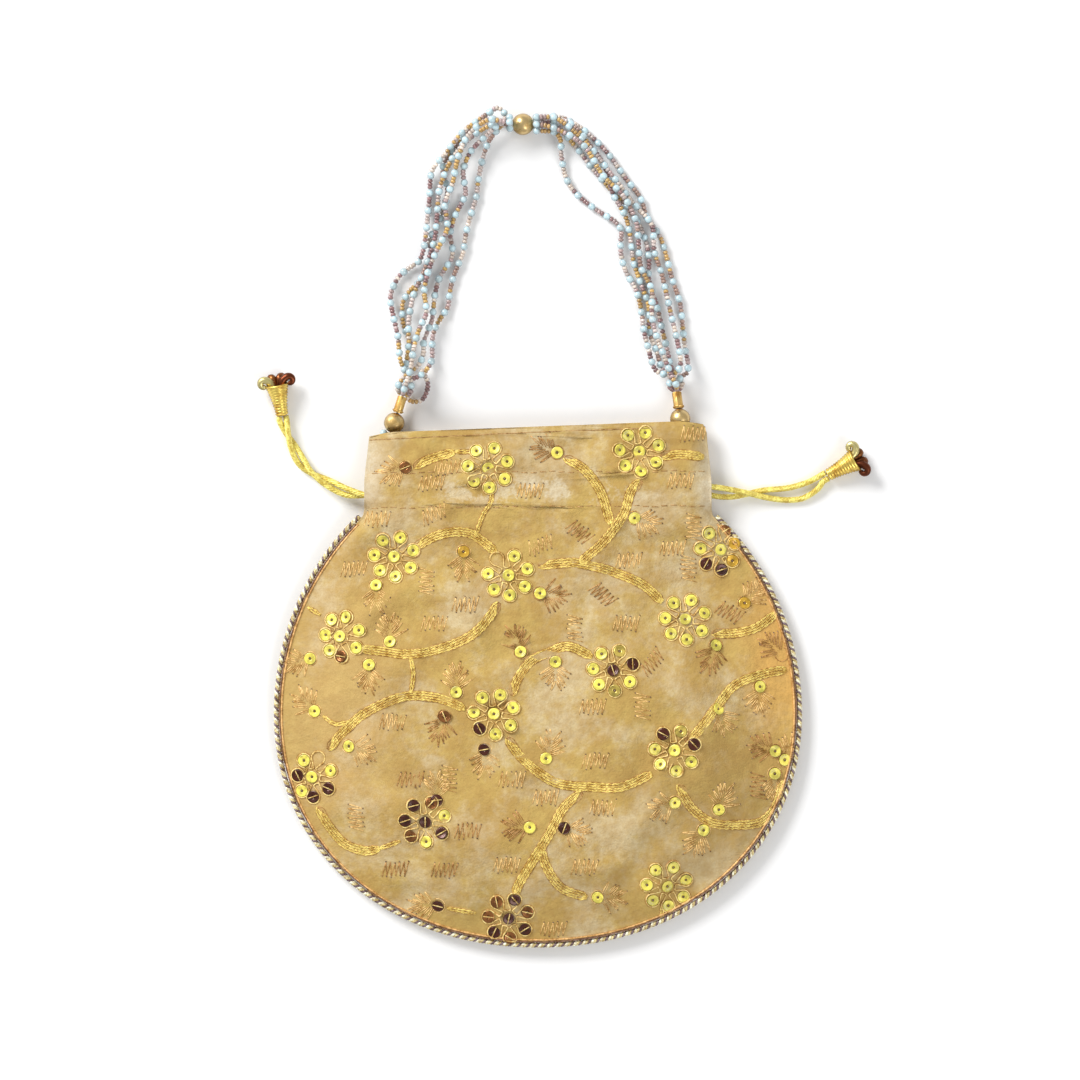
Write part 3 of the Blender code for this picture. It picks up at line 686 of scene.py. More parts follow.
def sequin_material(name, colour, rough, metal):
    """Stamped foil: a bright face with fine scratches, each sequin a little darker by its own tint."""
    made, tree, shader, where = new_material(name, rough, metal)
    worn = use_group(tree, wear_and_shade_group(), where, Scale=420.0, Low=0.42, High=0.62)
    dark = tuple(c * 0.55 for c in colour)
    base = blend_of(tree, worn.outputs["Mask"], colour, dark)
    tint = node(tree, "ShaderNodeVertexColor")
    tint.layer_name = "tint"
    mixed = node(tree, "ShaderNodeMix", data_type="RGBA", blend_type="MULTIPLY")
    mixed.inputs[0].default_value = 1.0
    tree.links.new(base, mixed.inputs[6])
    tree.links.new(tint.outputs["Color"], mixed.inputs[7])
    tree.links.new(mixed.outputs[2], shader.inputs["Base Color"])
    shader.inputs["Coat Weight"].default_value = 0.2
    shader.inputs["Coat Roughness"].default_value = 0.12
    return made


def painted_rim_shade(tree, colour, dark, most):
    """Painted shade: the colour turning dark where the surface leans away."""
    facing = node(tree, "ShaderNodeLayerWeight")
    facing.inputs["Blend"].default_value = 0.35
    share = math_node(tree, "MULTIPLY",
                      math_node(tree, "POWER", facing.outputs["Facing"], 1.6), most)
    return blend_of(tree, share, colour, dark)


def metal_material(name, colour, rough, worn_colour):
    """Plated metal, duller and browner where it is handled."""
    made, tree, shader, where = new_material(name, rough, 0.95)
    worn = use_group(tree, wear_and_shade_group(), where, Scale=260.0, Low=0.42, High=0.66)
    base = blend_of(tree, worn.outputs["Mask"], colour, worn_colour)
    # painted shade where the metal leans away
    tree.links.new(painted_rim_shade(tree, base, (0.10, 0.035, 0.01), 0.95),
                   shader.inputs["Base Color"])
    roughness = ramp_of(tree, worn.outputs["Mask"], -1.2, 2.2)
    tree.links.new(roughness, shader.inputs["Roughness"])
    return made


def bead_material():
    """Glossy beads: each one's colour is its own, a little uneven over it."""
    made, tree, shader, where = new_material("beads", 0.2)
    tint = node(tree, "ShaderNodeVertexColor")
    tint.layer_name = "tint"
    grain = use_group(tree, fibre_group(), where, Scale=700.0)
    dull = node(tree, "ShaderNodeMix", data_type="RGBA", blend_type="MULTIPLY")
    tree.links.new(ramp_of(tree, grain.outputs["Value"], 0.7, 0.3), dull.inputs[0])
    tree.links.new(tint.outputs["Color"], dull.inputs[6])
    dull.inputs[7].default_value = (0.72, 0.66, 0.62, 1)
    # painted shade where the beads lean away
    tree.links.new(painted_rim_shade(tree, dull.outputs[2], (0.16, 0.07, 0.13), 0.75),
                   shader.inputs["Base Color"])
    shader.inputs["Coat Weight"].default_value = 0.6
    shader.inputs["Coat Roughness"].default_value = 0.08
    return made


# ---------------------------------------------------------------- cloth


def oval_half(y, out=0.0):
    """Half width of the round body at y, its edge moved out by that much."""
    if y >= BODY_Y:
        rise = clamp((y - BODY_Y) / (BODY_UP + out))
        return (BODY_HALF + out) * math.sqrt(1 - rise * rise)
    fall = clamp((BODY_Y - y) / (BODY_DOWN + out))
    return (BODY_HALF + out) * (1 - fall ** LOW_POWER) ** (1 / LOW_POWER)


def seam_height(y):
    return mix(SEAM_BODY, SEAM_NECK, ease((y + 0.020) / 0.026))


def edge_room(x, y):
    """0 at the seam and 1 well inside the cloth, so creases die out at the edge."""
    half = max(oval_half(y), NECK_HALF) if y < 0.01 else NECK_HALF
    side = ease((half - abs(x)) / 0.016)
    low = ease((y - BODY_Y + BODY_DOWN) / 0.020)
    return side * low


def crease_height(x, y):
    """How far the cloth rises or dips in its soft creases and folds."""
    total = 0.0
    for cx, cy, turn, long, wide, high in CREASES:
        dx, dy = x / MM - cx, y / MM - cy
        angle = math.radians(turn)
        u = (dx * math.cos(angle) + dy * math.sin(angle)) / long
        v = (-dx * math.sin(angle) + dy * math.cos(angle)) / wide
        total += high * math.exp(-u * u - v * v)
    warp = 0.010 * noise.noise(Vector((x * 30, y * 30, 8.2)))
    for scale, high, layer in CRUMPLE:
        place = Vector(((x + warp) * scale, (y - warp) * scale * 0.8, layer))
        total += high * (0.32 - 2 * abs(noise.noise(place)))
    gather = ease((y + 0.012) / 0.014) * ease((0.030 - y) / 0.006)
    total += gather * 0.8 * noise.noise(Vector((x * 150, y * 28, 4.1)))
    return max(total, -0.35 - 3 * (1 - gather)) * MM


def neck_lean(y):
    """How far the neck's sides stand out from straight: fuller low down, drawn in at the rim."""
    return ease(y / 0.010) * mix(0.0005, -0.0013, ease((y - 0.016) / 0.022))


def drape(obj, strength):
    """Moves each point of a cloth piece with the creases and the neck's lean."""
    for v in obj.data.vertices:
        x, y, _ = v.co
        v.co.z += strength * crease_height(x, y) * edge_room(x, y)
        v.co.x += neck_lean(y) * clamp(x / 0.060, -1, 1)


def soft_copy(source, levels):
    """A merged, squared and smoothed copy of a frame node's shell."""
    obj = bpy.data.objects.new(source + "_cloth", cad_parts[source].data.copy())
    bpy.context.scene.collection.objects.link(obj)
    pick(obj)
    bpy.ops.object.mode_set(mode="EDIT")
    bpy.ops.mesh.select_all(action="SELECT")
    bpy.ops.mesh.remove_doubles(threshold=2e-5)
    bpy.ops.mesh.tris_convert_to_quads(face_threshold=math.radians(50),
                                       shape_threshold=math.radians(60))
    bpy.ops.mesh.normals_make_consistent(inside=False)
    bpy.ops.object.mode_set(mode="OBJECT")
    bpy.ops.object.mode_set(mode="EDIT")
    bpy.ops.mesh.select_all(action="DESELECT")
    bpy.ops.mesh.edges_select_sharp(sharpness=math.radians(50))
    bpy.ops.transform.edge_crease(value=0.9)
    bpy.ops.object.mode_set(mode="OBJECT")
    smooth = obj.modifiers.new("smooth", "SUBSURF")
    smooth.levels = levels
    smooth.render_levels = levels
    bpy.ops.object.modifier_apply(modifier=smooth.name)
    obj.data.shade_smooth()
    return obj


class POTLI_OT_cloth(bpy.types.Operator):
    """Build the velvet front and back of the pouch"""
    bl_idname = "potli.cloth"
    bl_label = "Cloth"

    def execute(self, context):
        front = soft_copy("front_panel", 2)
        drape(front, 1.0)
        settle(front, "velvet_front", velvet_material(), "bag", "velvet", "front_panel")
        back = soft_copy("back_panel", 2)
        drape(back, 0.0)
        settle(back, "velvet_back", velvet_material("velvet_plain", True), "bag", "velvet",
               "back_panel")
        return {"FINISHED"}


class Surface:
    """Finds the front's outer face under a place in plan."""

    def __init__(self, obj):
        mesh = obj.data
        self.tree = BVHTree.FromPolygons([v.co for v in mesh.vertices],
                                         [tuple(p.vertices) for p in mesh.polygons])

    def at(self, x, y, lift=0.0):
        place, normal, _, _ = self.tree.ray_cast(Vector((x, y, 0.1)), Vector((0, 0, -1)))
        if place is None:
            place, normal, _, _ = self.tree.find_nearest(Vector((x, y, 0.008)))
        return place + normal * lift, normal

    def lay(self, line, lift):
        """A plan line laid on the cloth, lifted off it a little."""
        return [self.at(p.x, p.y, lift)[0] for p in line]


def front_surface():
    return Surface(bpy.data.objects["velvet_front"])


# ---------------------------------------------------------------- embroidery


def side_line(line, off, way=0.0, spread=0.0):
    """The line moved sideways, and spread to that side between the chain's links."""
    moved = []
    for i, p in enumerate(line):
        t = tangent(line, i)
        ends = min(i, len(line) - 1 - i) / 6
        wide = off * clamp(0.35 + ends) + way * spread * math.sin(math.pi * i / 5) ** 2
        moved.append(p + Vector((-t.y, t.x, 0)) * wide)
    return moved


def vine_rows():
    """Every stem as its plan line and its number of rows."""
    for route in VINES:
        yield respaced(catmull(flat_points(route)), 0.0005), 4
    for route in THIN_VINES:
        yield respaced(catmull(flat_points(route)), 0.0005), 2


def chain_lines(surface, lift):
    """Rows of chain stitch: two threads that part and meet again at every link."""
    lines = []
    for line, rows in vine_rows():
        for row in range(rows):
            off = (row - (rows - 1) / 2) * VINE_ROW
            shift = line[2 * row :] if len(line) > 30 else line
            for way in (-1, 1):
                lines.append(surface.lay(side_line(shift, off, way, 0.00026), lift))
    return lines


def vine_shade_lines(surface, lift):
    """Painted shade: dull brown lines between the rows and along both sides of a stem."""
    lines = []
    for line, rows in vine_rows():
        for row in range(rows + 1):
            off = (row - rows / 2) * VINE_ROW
            lines.append(surface.lay(side_line(line, off), lift))
    return lines


def loop_line(middle, centre, radius):
    """A teardrop of thread from a flower's middle round one sequin."""
    out = (centre - middle).normalized()
    side = Vector((-out.y, out.x, 0))
    points = [middle + out * 0.0027 + side * 0.0013, middle + out * 0.0035 + side * 0.0004]
    for k in range(13):
        angle = math.radians(138 - 23 * k)
        points.append(centre + out * radius * math.cos(angle)
                      + side * radius * math.sin(angle))
    points += [middle + out * 0.0035 - side * 0.0004, middle + out * 0.0027 - side * 0.0013]
    return points


def petal_places(flower):
    """Places of one flower's petals, drawn in a little where the cloth turns away."""
    x, y, _, colours = flower
    middle = Vector((x * MM, y * MM, 0))
    reach = settings().petal_reach
    for angle, colour in zip(PETAL_ANGLES, colours):
        angle = math.radians(angle)
        way = Vector((math.cos(angle), math.sin(angle), 0)) * reach
        if abs(x) > 66 and way.x * x > 0:
            way.x *= 0.72
        yield colour, middle, middle + way


def flower_lines(surface, lift):
    round_sequin = settings().sequin_radius + 0.00035
    lines = []
    for flower in FLOWERS:
        for _, middle, place in petal_places(flower):
            lines.append(surface.lay(loop_line(middle, place, round_sequin), lift))
    return lines


def leaf_stitches(number):
    """One leaf: pairs of straight stitches slanting off both sides of a rib."""
    x, y, _, turn = SINGLES[number]
    rng = random.Random(number)
    middle = Vector((x * MM, y * MM, 0))
    turn = math.radians(turn)
    rib = Vector((math.cos(turn), math.sin(turn), 0))
    for k in range(5):
        for way in (-1, 1):
            angle = turn + way * math.radians(58 - 9 * k + rng.uniform(-6, 6))
            out = Vector((math.cos(angle), math.sin(angle), 0))
            foot = middle + rib * (0.0011 + 0.0013 * k) + out * 0.0011
            yield foot, foot + out * (6.1 - 0.5 * k + rng.uniform(-0.8, 0.8)) * MM


def leaf_lines(surface, lift, chosen):
    lines, dots = [], []
    for number in range(len(SINGLES)):
        if (number % 4 == 1) != chosen:
            continue
        for foot, tip in leaf_stitches(number):
            out = (tip - foot).normalized()
            side = Vector((-out.y, out.x, 0)) * 0.00034
            for way in (-1, 1):
                lines.append(surface.lay([foot + side * way, foot.lerp(tip, 0.5) + side * way,
                                          tip + side * way * 0.2], lift))
            dots.append(tip)
        x, y, _, turn = SINGLES[number]
        middle = Vector((x * MM, y * MM, 0))
        ring = [middle + Vector((math.cos(a), math.sin(a), 0)) * 0.0027
                for a in [math.radians(turn + 60 + 20 * k) for k in range(13)]]
        lines.append(surface.lay(ring, lift))
    return lines, dots


def zigzag_lines(surface, lift, brown):
    lines, dots = [], []
    for number, (x, y, turn, dull) in enumerate(ZIGZAGS):
        if dull != brown:
            continue
        rng = random.Random(100 + number)
        across = Matrix.Rotation(math.radians(turn), 3, "Z")
        points = []
        for k in range(12):
            high = (2.8 + rng.uniform(-0.5, 0.5)) * (1 if k % 2 else -1)
            along = (k - 5.5) * 0.88 + (0.35 if k % 2 else -0.35)
            points.append(Vector((x, y, 0)) * MM + across @ Vector((along, high, 0)) * MM)
        for a, b in zip(points, points[1:]):
            lines.append(surface.lay([a, a.lerp(b, 0.33), a.lerp(b, 0.67), b], lift))
        dots += points
    return lines, dots


def dash_lines(surface, lift):
    """Running stitches along the casing and under the rim."""
    lines = []
    for height, low, high in ((0.0078, -64, 64), (0.0212, -64, 64)):
        x = low
        while x < high:
            y = height + 0.0003 * math.sin(x * 0.4) + (0.0004 * x / 60)
            lines.append(surface.lay([Vector((x * MM, y, 0)), Vector(((x + 2.3) * MM, y, 0))],
                                     lift))
            x += 3.6
    rim = []
    for k in range(110):
        x = (-65 + k) * MM
        y = RIM_Y + RIM_SLOPE * x - 0.0024 + 0.0006 * clamp(k / 60)
        rim.append(Vector((x, y, 0)))
    lines.append(surface.lay(rim, lift))
    return lines


class POTLI_OT_embroidery(bpy.types.Operator):
    """Stitch the vines, petal loops, leaf sprays, zigzags and casing rows"""
    bl_idname = "potli.embroidery"
    bl_label = "Embroidery"

    def execute(self, context):
        options = settings()
        surface = front_surface()
        width = options.thread_width
        lift = width * 0.35
        gold = thread_material("gold_thread", tuple(options.gold_thread))
        brown = thread_material("brown_thread_and_shade", tuple(options.brown_thread_and_shade))
        pale = thread_material("pale_thread", (0.86, 0.62, 0.22), 0.1)
        tan = thread_material("tan_thread", tuple(options.tan_thread))
        plain = thread_material("sewing_thread", (0.46, 0.27, 0.09))
        sets = [
            # painted shade lines between and beside the vine rows
            ("vine_shade_lines", vine_shade_lines(surface, 0.00004), width * 0.62, brown),
            ("vine_stitches", chain_lines(surface, lift), width * 0.9, gold),
            ("petal_loops", flower_lines(surface, LOOP_LIFT), width * 1.3, pale),
            # painted shade: a wider dark brown line under each petal loop darkens its edges
            ("petal_loop_shade", flower_lines(surface, -0.0001), width * 2.3, brown),
            ("casing_stitches", dash_lines(surface, 0.0), width * 0.9, plain),
        ]
        dots = []
        for name, lay, colour in (("leaf", leaf_lines, (tan, brown)),
                                  ("zigzag", zigzag_lines, (tan, brown))):
            for dull in (0, 1):
                lines, ends = lay(surface, lift * 0.5, dull)
                dots += ends
                label = name + ("_stitches_dull" if dull else "_stitches")
                sets.append((label, lines, width * 0.8, colour[dull]))
        for name, lines, wide, finish in sets:
            piece = threads(name, lines, wide, 0)
            settle(piece, name, finish, "bag", "thread")
        # painted shade: small dark dots where the stitches go into the cloth
        bpy.ops.mesh.primitive_ico_sphere_add(subdivisions=1, radius=1)
        template = template_from(bpy.context.object)
        places = []
        for k, dot in enumerate(dots):
            if k % 3:
                place, normal = surface.at(dot.x, dot.y, 0.00010)
                places.append(frame_at(place, normal)
                              @ Matrix.Diagonal((0.00032, 0.00032, 0.0002, 1)))
        piece = stamped("needle_hole_shade", template, places)
        settle(piece, "needle_hole_shade", thread_material("painted_hole_shade", (0.16, 0.085, 0.045)),
               "bag", "thread")
        return {"FINISHED"}


def sequin_template():
    """A thin cupped disc with a hole, in unit radius."""
    profile = [(1.0, 0.10), (0.80, 0.03), (0.5, 0.0), (0.24, -0.02), (0.24, 0.04), (0.5, 0.06),
               (0.80, 0.09), (1.0, 0.15)]
    obj = spun(profile[::-1], 20)
    return template_from(obj)


def sequin_places():
    """Every sequin: colour letter and place in plan."""
    found = []
    for flower in FLOWERS:
        found.append((flower[2], Vector((flower[0] * MM, flower[1] * MM, 0))))
        found += [(colour, place) for colour, _, place in petal_places(flower)]
    for x, y, colour, _ in SINGLES:
        found.append((colour, Vector((x * MM, y * MM, 0))))
    return found


SEQUINS = {
    "y": ("sequins_yellow", (0.97, 0.83, 0.13), 0.34, 0.0),
    "d": ("sequins_dark", (0.085, 0.016, 0.005), 0.30, 0.35),
    "b": ("sequins_brown", (0.34, 0.13, 0.035), 0.28, 0.7),
    "a": ("sequins_amber", (0.86, 0.50, 0.05), 0.30, 0.4),
    "o": ("sequins_olive", (0.66, 0.50, 0.10), 0.30, 0.4),
}


class POTLI_OT_sequins(bpy.types.Operator):
    """Sew on the sequins"""
    bl_idname = "potli.sequins"
    bl_label = "Sequins"

    def execute(self, context):
        surface = front_surface()
        radius = settings().sequin_radius
        stitch_width = settings().thread_width
        template = sequin_template()
        rng = random.Random(7)
        places = {letter: [] for letter in SEQUINS}
        knot_shades = []
        for letter, place in sequin_places():
            if letter not in SEQUINS:
                continue
            spot_on, normal = surface.at(place.x, place.y, 0.00025)
            tilt = Vector((rng.uniform(-0.07, 0.07), rng.uniform(-0.07, 0.07), 0))
            matrix = frame_at(spot_on, normal + tilt, rng.uniform(0, 6.28))
            places[letter].append(matrix @ Matrix.Diagonal((radius, radius, radius, 1)))
            knot_shades.append(matrix @ Matrix.Diagonal((0.00046, 0.00046, 0.0003, 1)))
        holding = []
        for letter in "db":
            for matrix in places[letter]:
                holding.append([matrix @ Vector((0.9 * k, 0.12 * k, 0.17)) for k in (-1, 0, 1)])
        piece = threads("holding_stitches", holding, stitch_width * 0.9, 0)
        settle(piece, "holding_stitches", bpy.data.materials["pale_thread"], "bag", "thread")
        for letter, (name, colour, rough, metal) in SEQUINS.items():
            tints = [(rng.uniform(0.85, 1.0),) * 3 for _ in places[letter]]
            obj = stamped(name, template, places[letter], tints)
            settle(obj, name, sequin_material(name, colour, rough, metal), "bag", "wound_wire")
        # painted shade and a knot: a small dark dot in each sequin's hole
        bpy.ops.mesh.primitive_ico_sphere_add(subdivisions=1, radius=1)
        obj = stamped("sequin_knot_shade", template_from(bpy.context.object), knot_shades)
        settle(obj, "sequin_knot_shade", bpy.data.materials["painted_hole_shade"], "bag", "thread")
        return {"FINISHED"}


# ---------------------------------------------------------------- trim


def trim_line(out, start_y):
    """The seam's edge from shoulder to shoulder, round by the bottom."""
    right = []
    for k in range(61):
        y = mix(BODY_Y, start_y, math.sin(math.pi / 2 * (1 - k / 60)))
        right.append(Vector((oval_half(y, out), y, seam_height(y))))
    for k in range(1, 91):
        y = BODY_Y - (BODY_DOWN + out) * math.sin(math.pi / 2 * k / 90)
        right.append(Vector((oval_half(y, out), y, seam_height(y))))
    left = [Vector((-p.x, p.y, p.z)) for p in reversed(right[:-1])]
    return right + left


def twisted(line, radius, pitch, plies, step):
    """The plies of a rope laid along a line, each a helix round it."""
    fine = respaced(line, step)
    found = [[] for _ in range(plies)]
    along = 0.0
    for i, place in enumerate(fine):
        t = tangent(fine, i)
        side = t.cross(Vector((0, 0, 1)))
        side = side.normalized() if side.length > 1e-3 else Vector((0, 1, 0))
        up = side.cross(t)
        for ply in range(plies):
            angle = 2 * math.pi * (along / pitch + ply / plies)
            found[ply].append(place + (side * math.cos(angle) + up * math.sin(angle)) * radius)
        along += step
    return found


class POTLI_OT_trim(bpy.types.Operator):
    """Lay the two-colour rope lace and the piping round the seam"""
    bl_idname = "potli.trim"
    bl_label = "Edge trim"

    def execute(self, context):
        line = trim_line(0.0011, 0.0040)
        plies = twisted(line, 0.00050, 0.0034, 3, 0.00032)
        finishes = (
            ("lace_light", (0.84, 0.80, 0.60), 0.00110), ("lace_gold", (0.62, 0.52, 0.24), 0.00105),
            ("lace_dark", (0.16, 0.10, 0.12), 0.00100),
        )
        for ply, (name, colour, wide) in zip(plies, finishes):
            rope = threads(f"{name}_ply", [ply], wide, 1)
            settle(rope, f"{name}_ply", thread_material(name, colour, 0.2), "bag", "trim_lace")
        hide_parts("edge_trim")
        surface = front_surface()
        inner = [surface.at(p.x, p.y, 0.0002)[0] for p in
                 respaced(trim_line(-0.0010, 0.0010), 0.0012)]
        # painted shadow: a dark brown line just inside the trim
        shadow = [surface.at(p.x, p.y, 0.0001)[0] for p in
                  respaced(trim_line(-0.0002, 0.0010), 0.0012)]
        for name, path, wide, colour in (("edge_piping", inner, 0.0007, (0.72, 0.42, 0.14)),
                                         ("edge_shadow_line", shadow, 0.0006, (0.20, 0.09, 0.04))):
            piping = threads(name, [path], wide, 1, (1.1, 0.85))
            settle(piping, name, thread_material(name, colour), "bag", "trim_lace")
        return {"FINISHED"}


# ---------------------------------------------------------------- drawcords and tassels


def twisted_pair():
    """The left cord's two strands between neck and cone, from the neck outwards."""
    centre = in_metres(LEFT_PAIR)
    first = []
    second = []
    for k, place in enumerate(centre):
        ahead = centre[min(k + 1, len(centre) - 1)] - centre[max(k - 1, 0)]
        side = Vector((-ahead.y, ahead.x, 0)).normalized()
        angle = math.radians(90 + PAIR_TURN * k / (len(centre) - 1))
        off = side * math.cos(angle) + Vector((0, 0, math.sin(angle)))
        off *= PAIR_RADIUS * MM * (1.25 if k == 0 else 1)
        first.append(place + off)
        second.append(place - off)
    return first, second


def inside_run(y, way):
    """The casing's run: front tunnel, turn at the far side, back tunnel."""
    start = -way * 0.056
    front = [Vector((start, y, TUNNEL_FRONT - 0.0002))]
    back = []
    for share in (0.1, 0.3, 0.5, 0.7, 0.88):
        x = mix(start, way * TURN_X, share)
        front.append(Vector((x, y, TUNNEL_FRONT)))
        back.append(Vector((x, y, TUNNEL_BACK)))
    middle = (TUNNEL_FRONT + TUNNEL_BACK) / 2
    turn = []
    for k in range(7):
        angle = math.radians(90 - 30 * k)
        x = way * (TURN_X + TURN_RADIUS * math.cos(angle))
        turn.append(Vector((x, y, middle + TURN_RADIUS * math.sin(angle))))
    return front + turn + back[::-1] + [Vector((start, y, TUNNEL_BACK + 0.0002))]


THROAT_SIDE = 0.00128  # from the cone's axis to the middle of each strand
THROAT_SHORT = 0.0006  # how far short of the throat a strand ends
THROAT_LEAD = 0.0025


def throat_ends(cone):
    """Where the two strands meet the throat, and the points they come straight from."""
    place, axis = Vector(cone[0]), Vector(cone[1]).normalized()
    side = Vector((-axis.y, axis.x, 0)).normalized() * THROAT_SIDE
    ends = [place - axis * THROAT_SHORT + side, place - axis * THROAT_SHORT - side]
    leads = [end - axis * THROAT_LEAD for end in ends]
    return ends, leads


def left_cord_route():
    first, second = twisted_pair()
    ends, _ = throat_ends(LEFT_CONE)
    near = (first[-1] - ends[0]).length < (first[-1] - ends[1]).length
    one, two = (0, 1) if near else (1, 0)
    out = [Vector((-0.0610, 0.0113, 0.0096))]
    back = [Vector((-0.0610, 0.0112, 0.0038))]
    return ([ends[one]] + first[::-1] + out + inside_run(LEFT_CORD_Y, 1)
            + back + second + [ends[two]])


def right_cord_route():
    upper, lower = in_metres(RIGHT_UPPER), in_metres(RIGHT_LOWER)
    ends, leads = throat_ends(RIGHT_CONE)
    return ([ends[1], leads[1]] + upper[::-1] + inside_run(RIGHT_CORD_Y, -1)
            + lower + [leads[0], ends[0]])


def cone_piece(cone):
    """A cone of close wire turns round a thin cup."""
    profile = []
    turns = 11
    for k in range(turns):
        for part in range(4):
            share = 1 - (k + part / 4) / turns
            bulge = 0.00042 * math.sin(math.pi * part / 4)
            radius = mix(CONE_THROAT, CONE_MOUTH, share ** 1.7) - 0.0001 + bulge
            profile.append((radius, CONE_LONG * share))
    profile.append((CONE_THROAT - 0.0001, 0.0))
    for share in (0.0, 0.15, 0.5, 0.8, 1.0):
        radius = mix(CONE_THROAT, CONE_MOUTH, share ** 1.7) - 0.0007
        profile.append((radius if share > 0.2 else 0.0011, CONE_LONG * share))
    return spun(profile, 28, cone[0], cone[1])


def petal_piece(cone, around, reach):
    """A fat curled petal: it rises from the mouth, leans out over the rim and curls back."""
    place, axis = Vector(cone[0]), Vector(cone[1]).normalized()
    side = Vector((-axis.y, axis.x, 0)).normalized()
    up = axis.cross(side) * -1
    out = side * math.cos(around) + up * math.sin(around)
    points = [place + axis * (CONE_LONG * 0.6) + out * 0.0009,
              place + axis * (CONE_LONG + 0.0004) + out * 0.0022]
    middle = place + axis * (CONE_LONG + 0.0007) + out * reach
    for k in range(6):
        angle = math.radians(130 - 50 * k)
        curl = PETAL_CURL * (1 - 0.07 * k)
        points.append(middle + axis * curl * math.sin(angle) + out * curl * math.cos(angle))
    line = respaced(catmull(points, 8), 0.0005)
    last = len(line) - 1
    fat = [0.45 + 0.55 * math.sin(math.pi * clamp(0.15 + 0.75 * i / last)) for i in range(last + 1)]
    return threads("petal", [line], PETAL_FAT, 3, fat)


# Petals: way round the cone in degrees (0 is its left side), reach in metres and colour.
PETALS = (
    (0, 0.0048, (0.78, 0.68, 0.30)), (180, 0.0050, (0.16, 0.045, 0.02)),
    (58, 0.0034, (0.34, 0.13, 0.04)), (125, 0.0036, (0.24, 0.08, 0.03)),
)


class POTLI_OT_drawcords(bpy.types.Operator):
    """Lay the two drawcords with their wound cones and petals"""
    bl_idname = "potli.drawcords"
    bl_label = "Drawcords and tassels"

    def execute(self, context):
        yarn = thread_material("metallic_cord", tuple(settings().cord_colour), 0.3, 0.66)
        wire = metal_material("wound_wire", (0.95, 0.72, 0.17), 0.25, (0.50, 0.28, 0.05))
        foils = [metal_material(f"petal_foil_{k + 1}", c, 0.35, tuple(v * 0.5 for v in c))
                 for k, c in enumerate(p[2] for p in PETALS)]
        for side, cone, route in (("left", LEFT_CONE, left_cord_route()),
                                  ("right", RIGHT_CONE, right_cord_route())):
            line = respaced(catmull(route), 0.0007)
            plies = twisted(line, 0.00072, 0.0090, 6, 0.0007)
            cord = threads(f"cord_{side}", plies, 0.00092, 1)
            settle(cord, f"cord_{side}", yarn, "bag", "metallic_cord", f"drawcord_{side}")
            head = cone_piece(cone)
            settle(head, f"cone_{side}", wire, "bag", "wound_wire", f"tassel_cone_{side}")
            for k, (around, reach, _) in enumerate(PETALS):
                petal = petal_piece(cone, math.radians(around), reach)
                settle(petal, f"curled_petal_{side}_{k + 1}", foils[k], "bag", "petal",
                       f"petal_{side}_{k + 1}")
            tuple(line[0])
            round(line_length(line), 3)
            [tuple(p) for p in line]
        return {"FINISHED"}


# ---------------------------------------------------------------- handle


def string_plans(ball_side, routes, mouth, axis):
    """Plan lines of one side's strings, spread sideways where they gather."""
    across = Vector((-axis.y, axis.x, 0)).normalized()
    plans = []
    for route, off in zip(routes, STRING_ENDS):
        start = Vector((ball_side.x, ball_side.y + off * MM, 0))
        lead = start + Vector((math.copysign(0.0022, ball_side.x - TOP_BALL[0]), 0, 0))
        end = Vector((mouth.x, mouth.y, 0)) + across * off * MM
        before = end + Vector((axis.x, axis.y, 0)).normalized() * 0.0025
        middle = [Vector((x * MM, y * MM, 0)) for x, y in route]
        plans.append(respaced(catmull([start, lead, *middle, before, end]), 0.0012))
    return plans


def laid(plans):
    """Each string lies on the floor and over the ones laid before it."""
    rest = STRING / 2 + 0.0001
    done = []
    for plan in plans:
        heights = []
        for p in plan:
            height = rest
            for q in done:
                near = (q.x - p.x) ** 2 + (q.y - p.y) ** 2
                if near < STRING_SPACE ** 2:
                    height = max(height, q.z + math.sqrt(STRING_SPACE ** 2 - near))
            heights.append(height)
        wide = STRING_REACH
        heights = [max(heights[max(i - wide, 0) : i + wide + 1]) for i in range(len(heights))]
        step = (plan[1] - plan[0]).length * STRING_SLOPE
        for order in (range(1, len(heights)), range(len(heights) - 2, -1, -1)):
            for i in order:
                other = i - 1 if order.step > 0 else i + 1
                heights[i] = max(heights[i], heights[other] - step)
        line = [Vector((p.x, p.y, z)) for p, z in zip(plan, heights)]
        done += line
        yield line


def pearl_template():
    deselect()
    bpy.ops.mesh.primitive_uv_sphere_add(segments=14, ring_count=8, radius=1)
    return template_from(bpy.context.object)


def seed_template():
    """A short round-shouldered barrel of unit radius and height 1.25."""
    profile = [(0.50, 0.62), (0.85, 0.44), (1.0, 0.0), (0.85, -0.44), (0.50, -0.62), (0.30, -0.55),
               (0.30, 0.55)]
    return template_from(spun(profile, 10))


SEEDS_BETWEEN = 3
SEED_LONG = 0.00130
SEED_TINTS = ((0.58, 0.44, 0.43), (0.46, 0.31, 0.25), (0.76, 0.50, 0.16), (0.88, 0.78, 0.68),
              (0.36, 0.21, 0.21), (0.66, 0.42, 0.14), (0.78, 0.68, 0.64))
PEARL_TINT = (0.60, 0.82, 0.90)


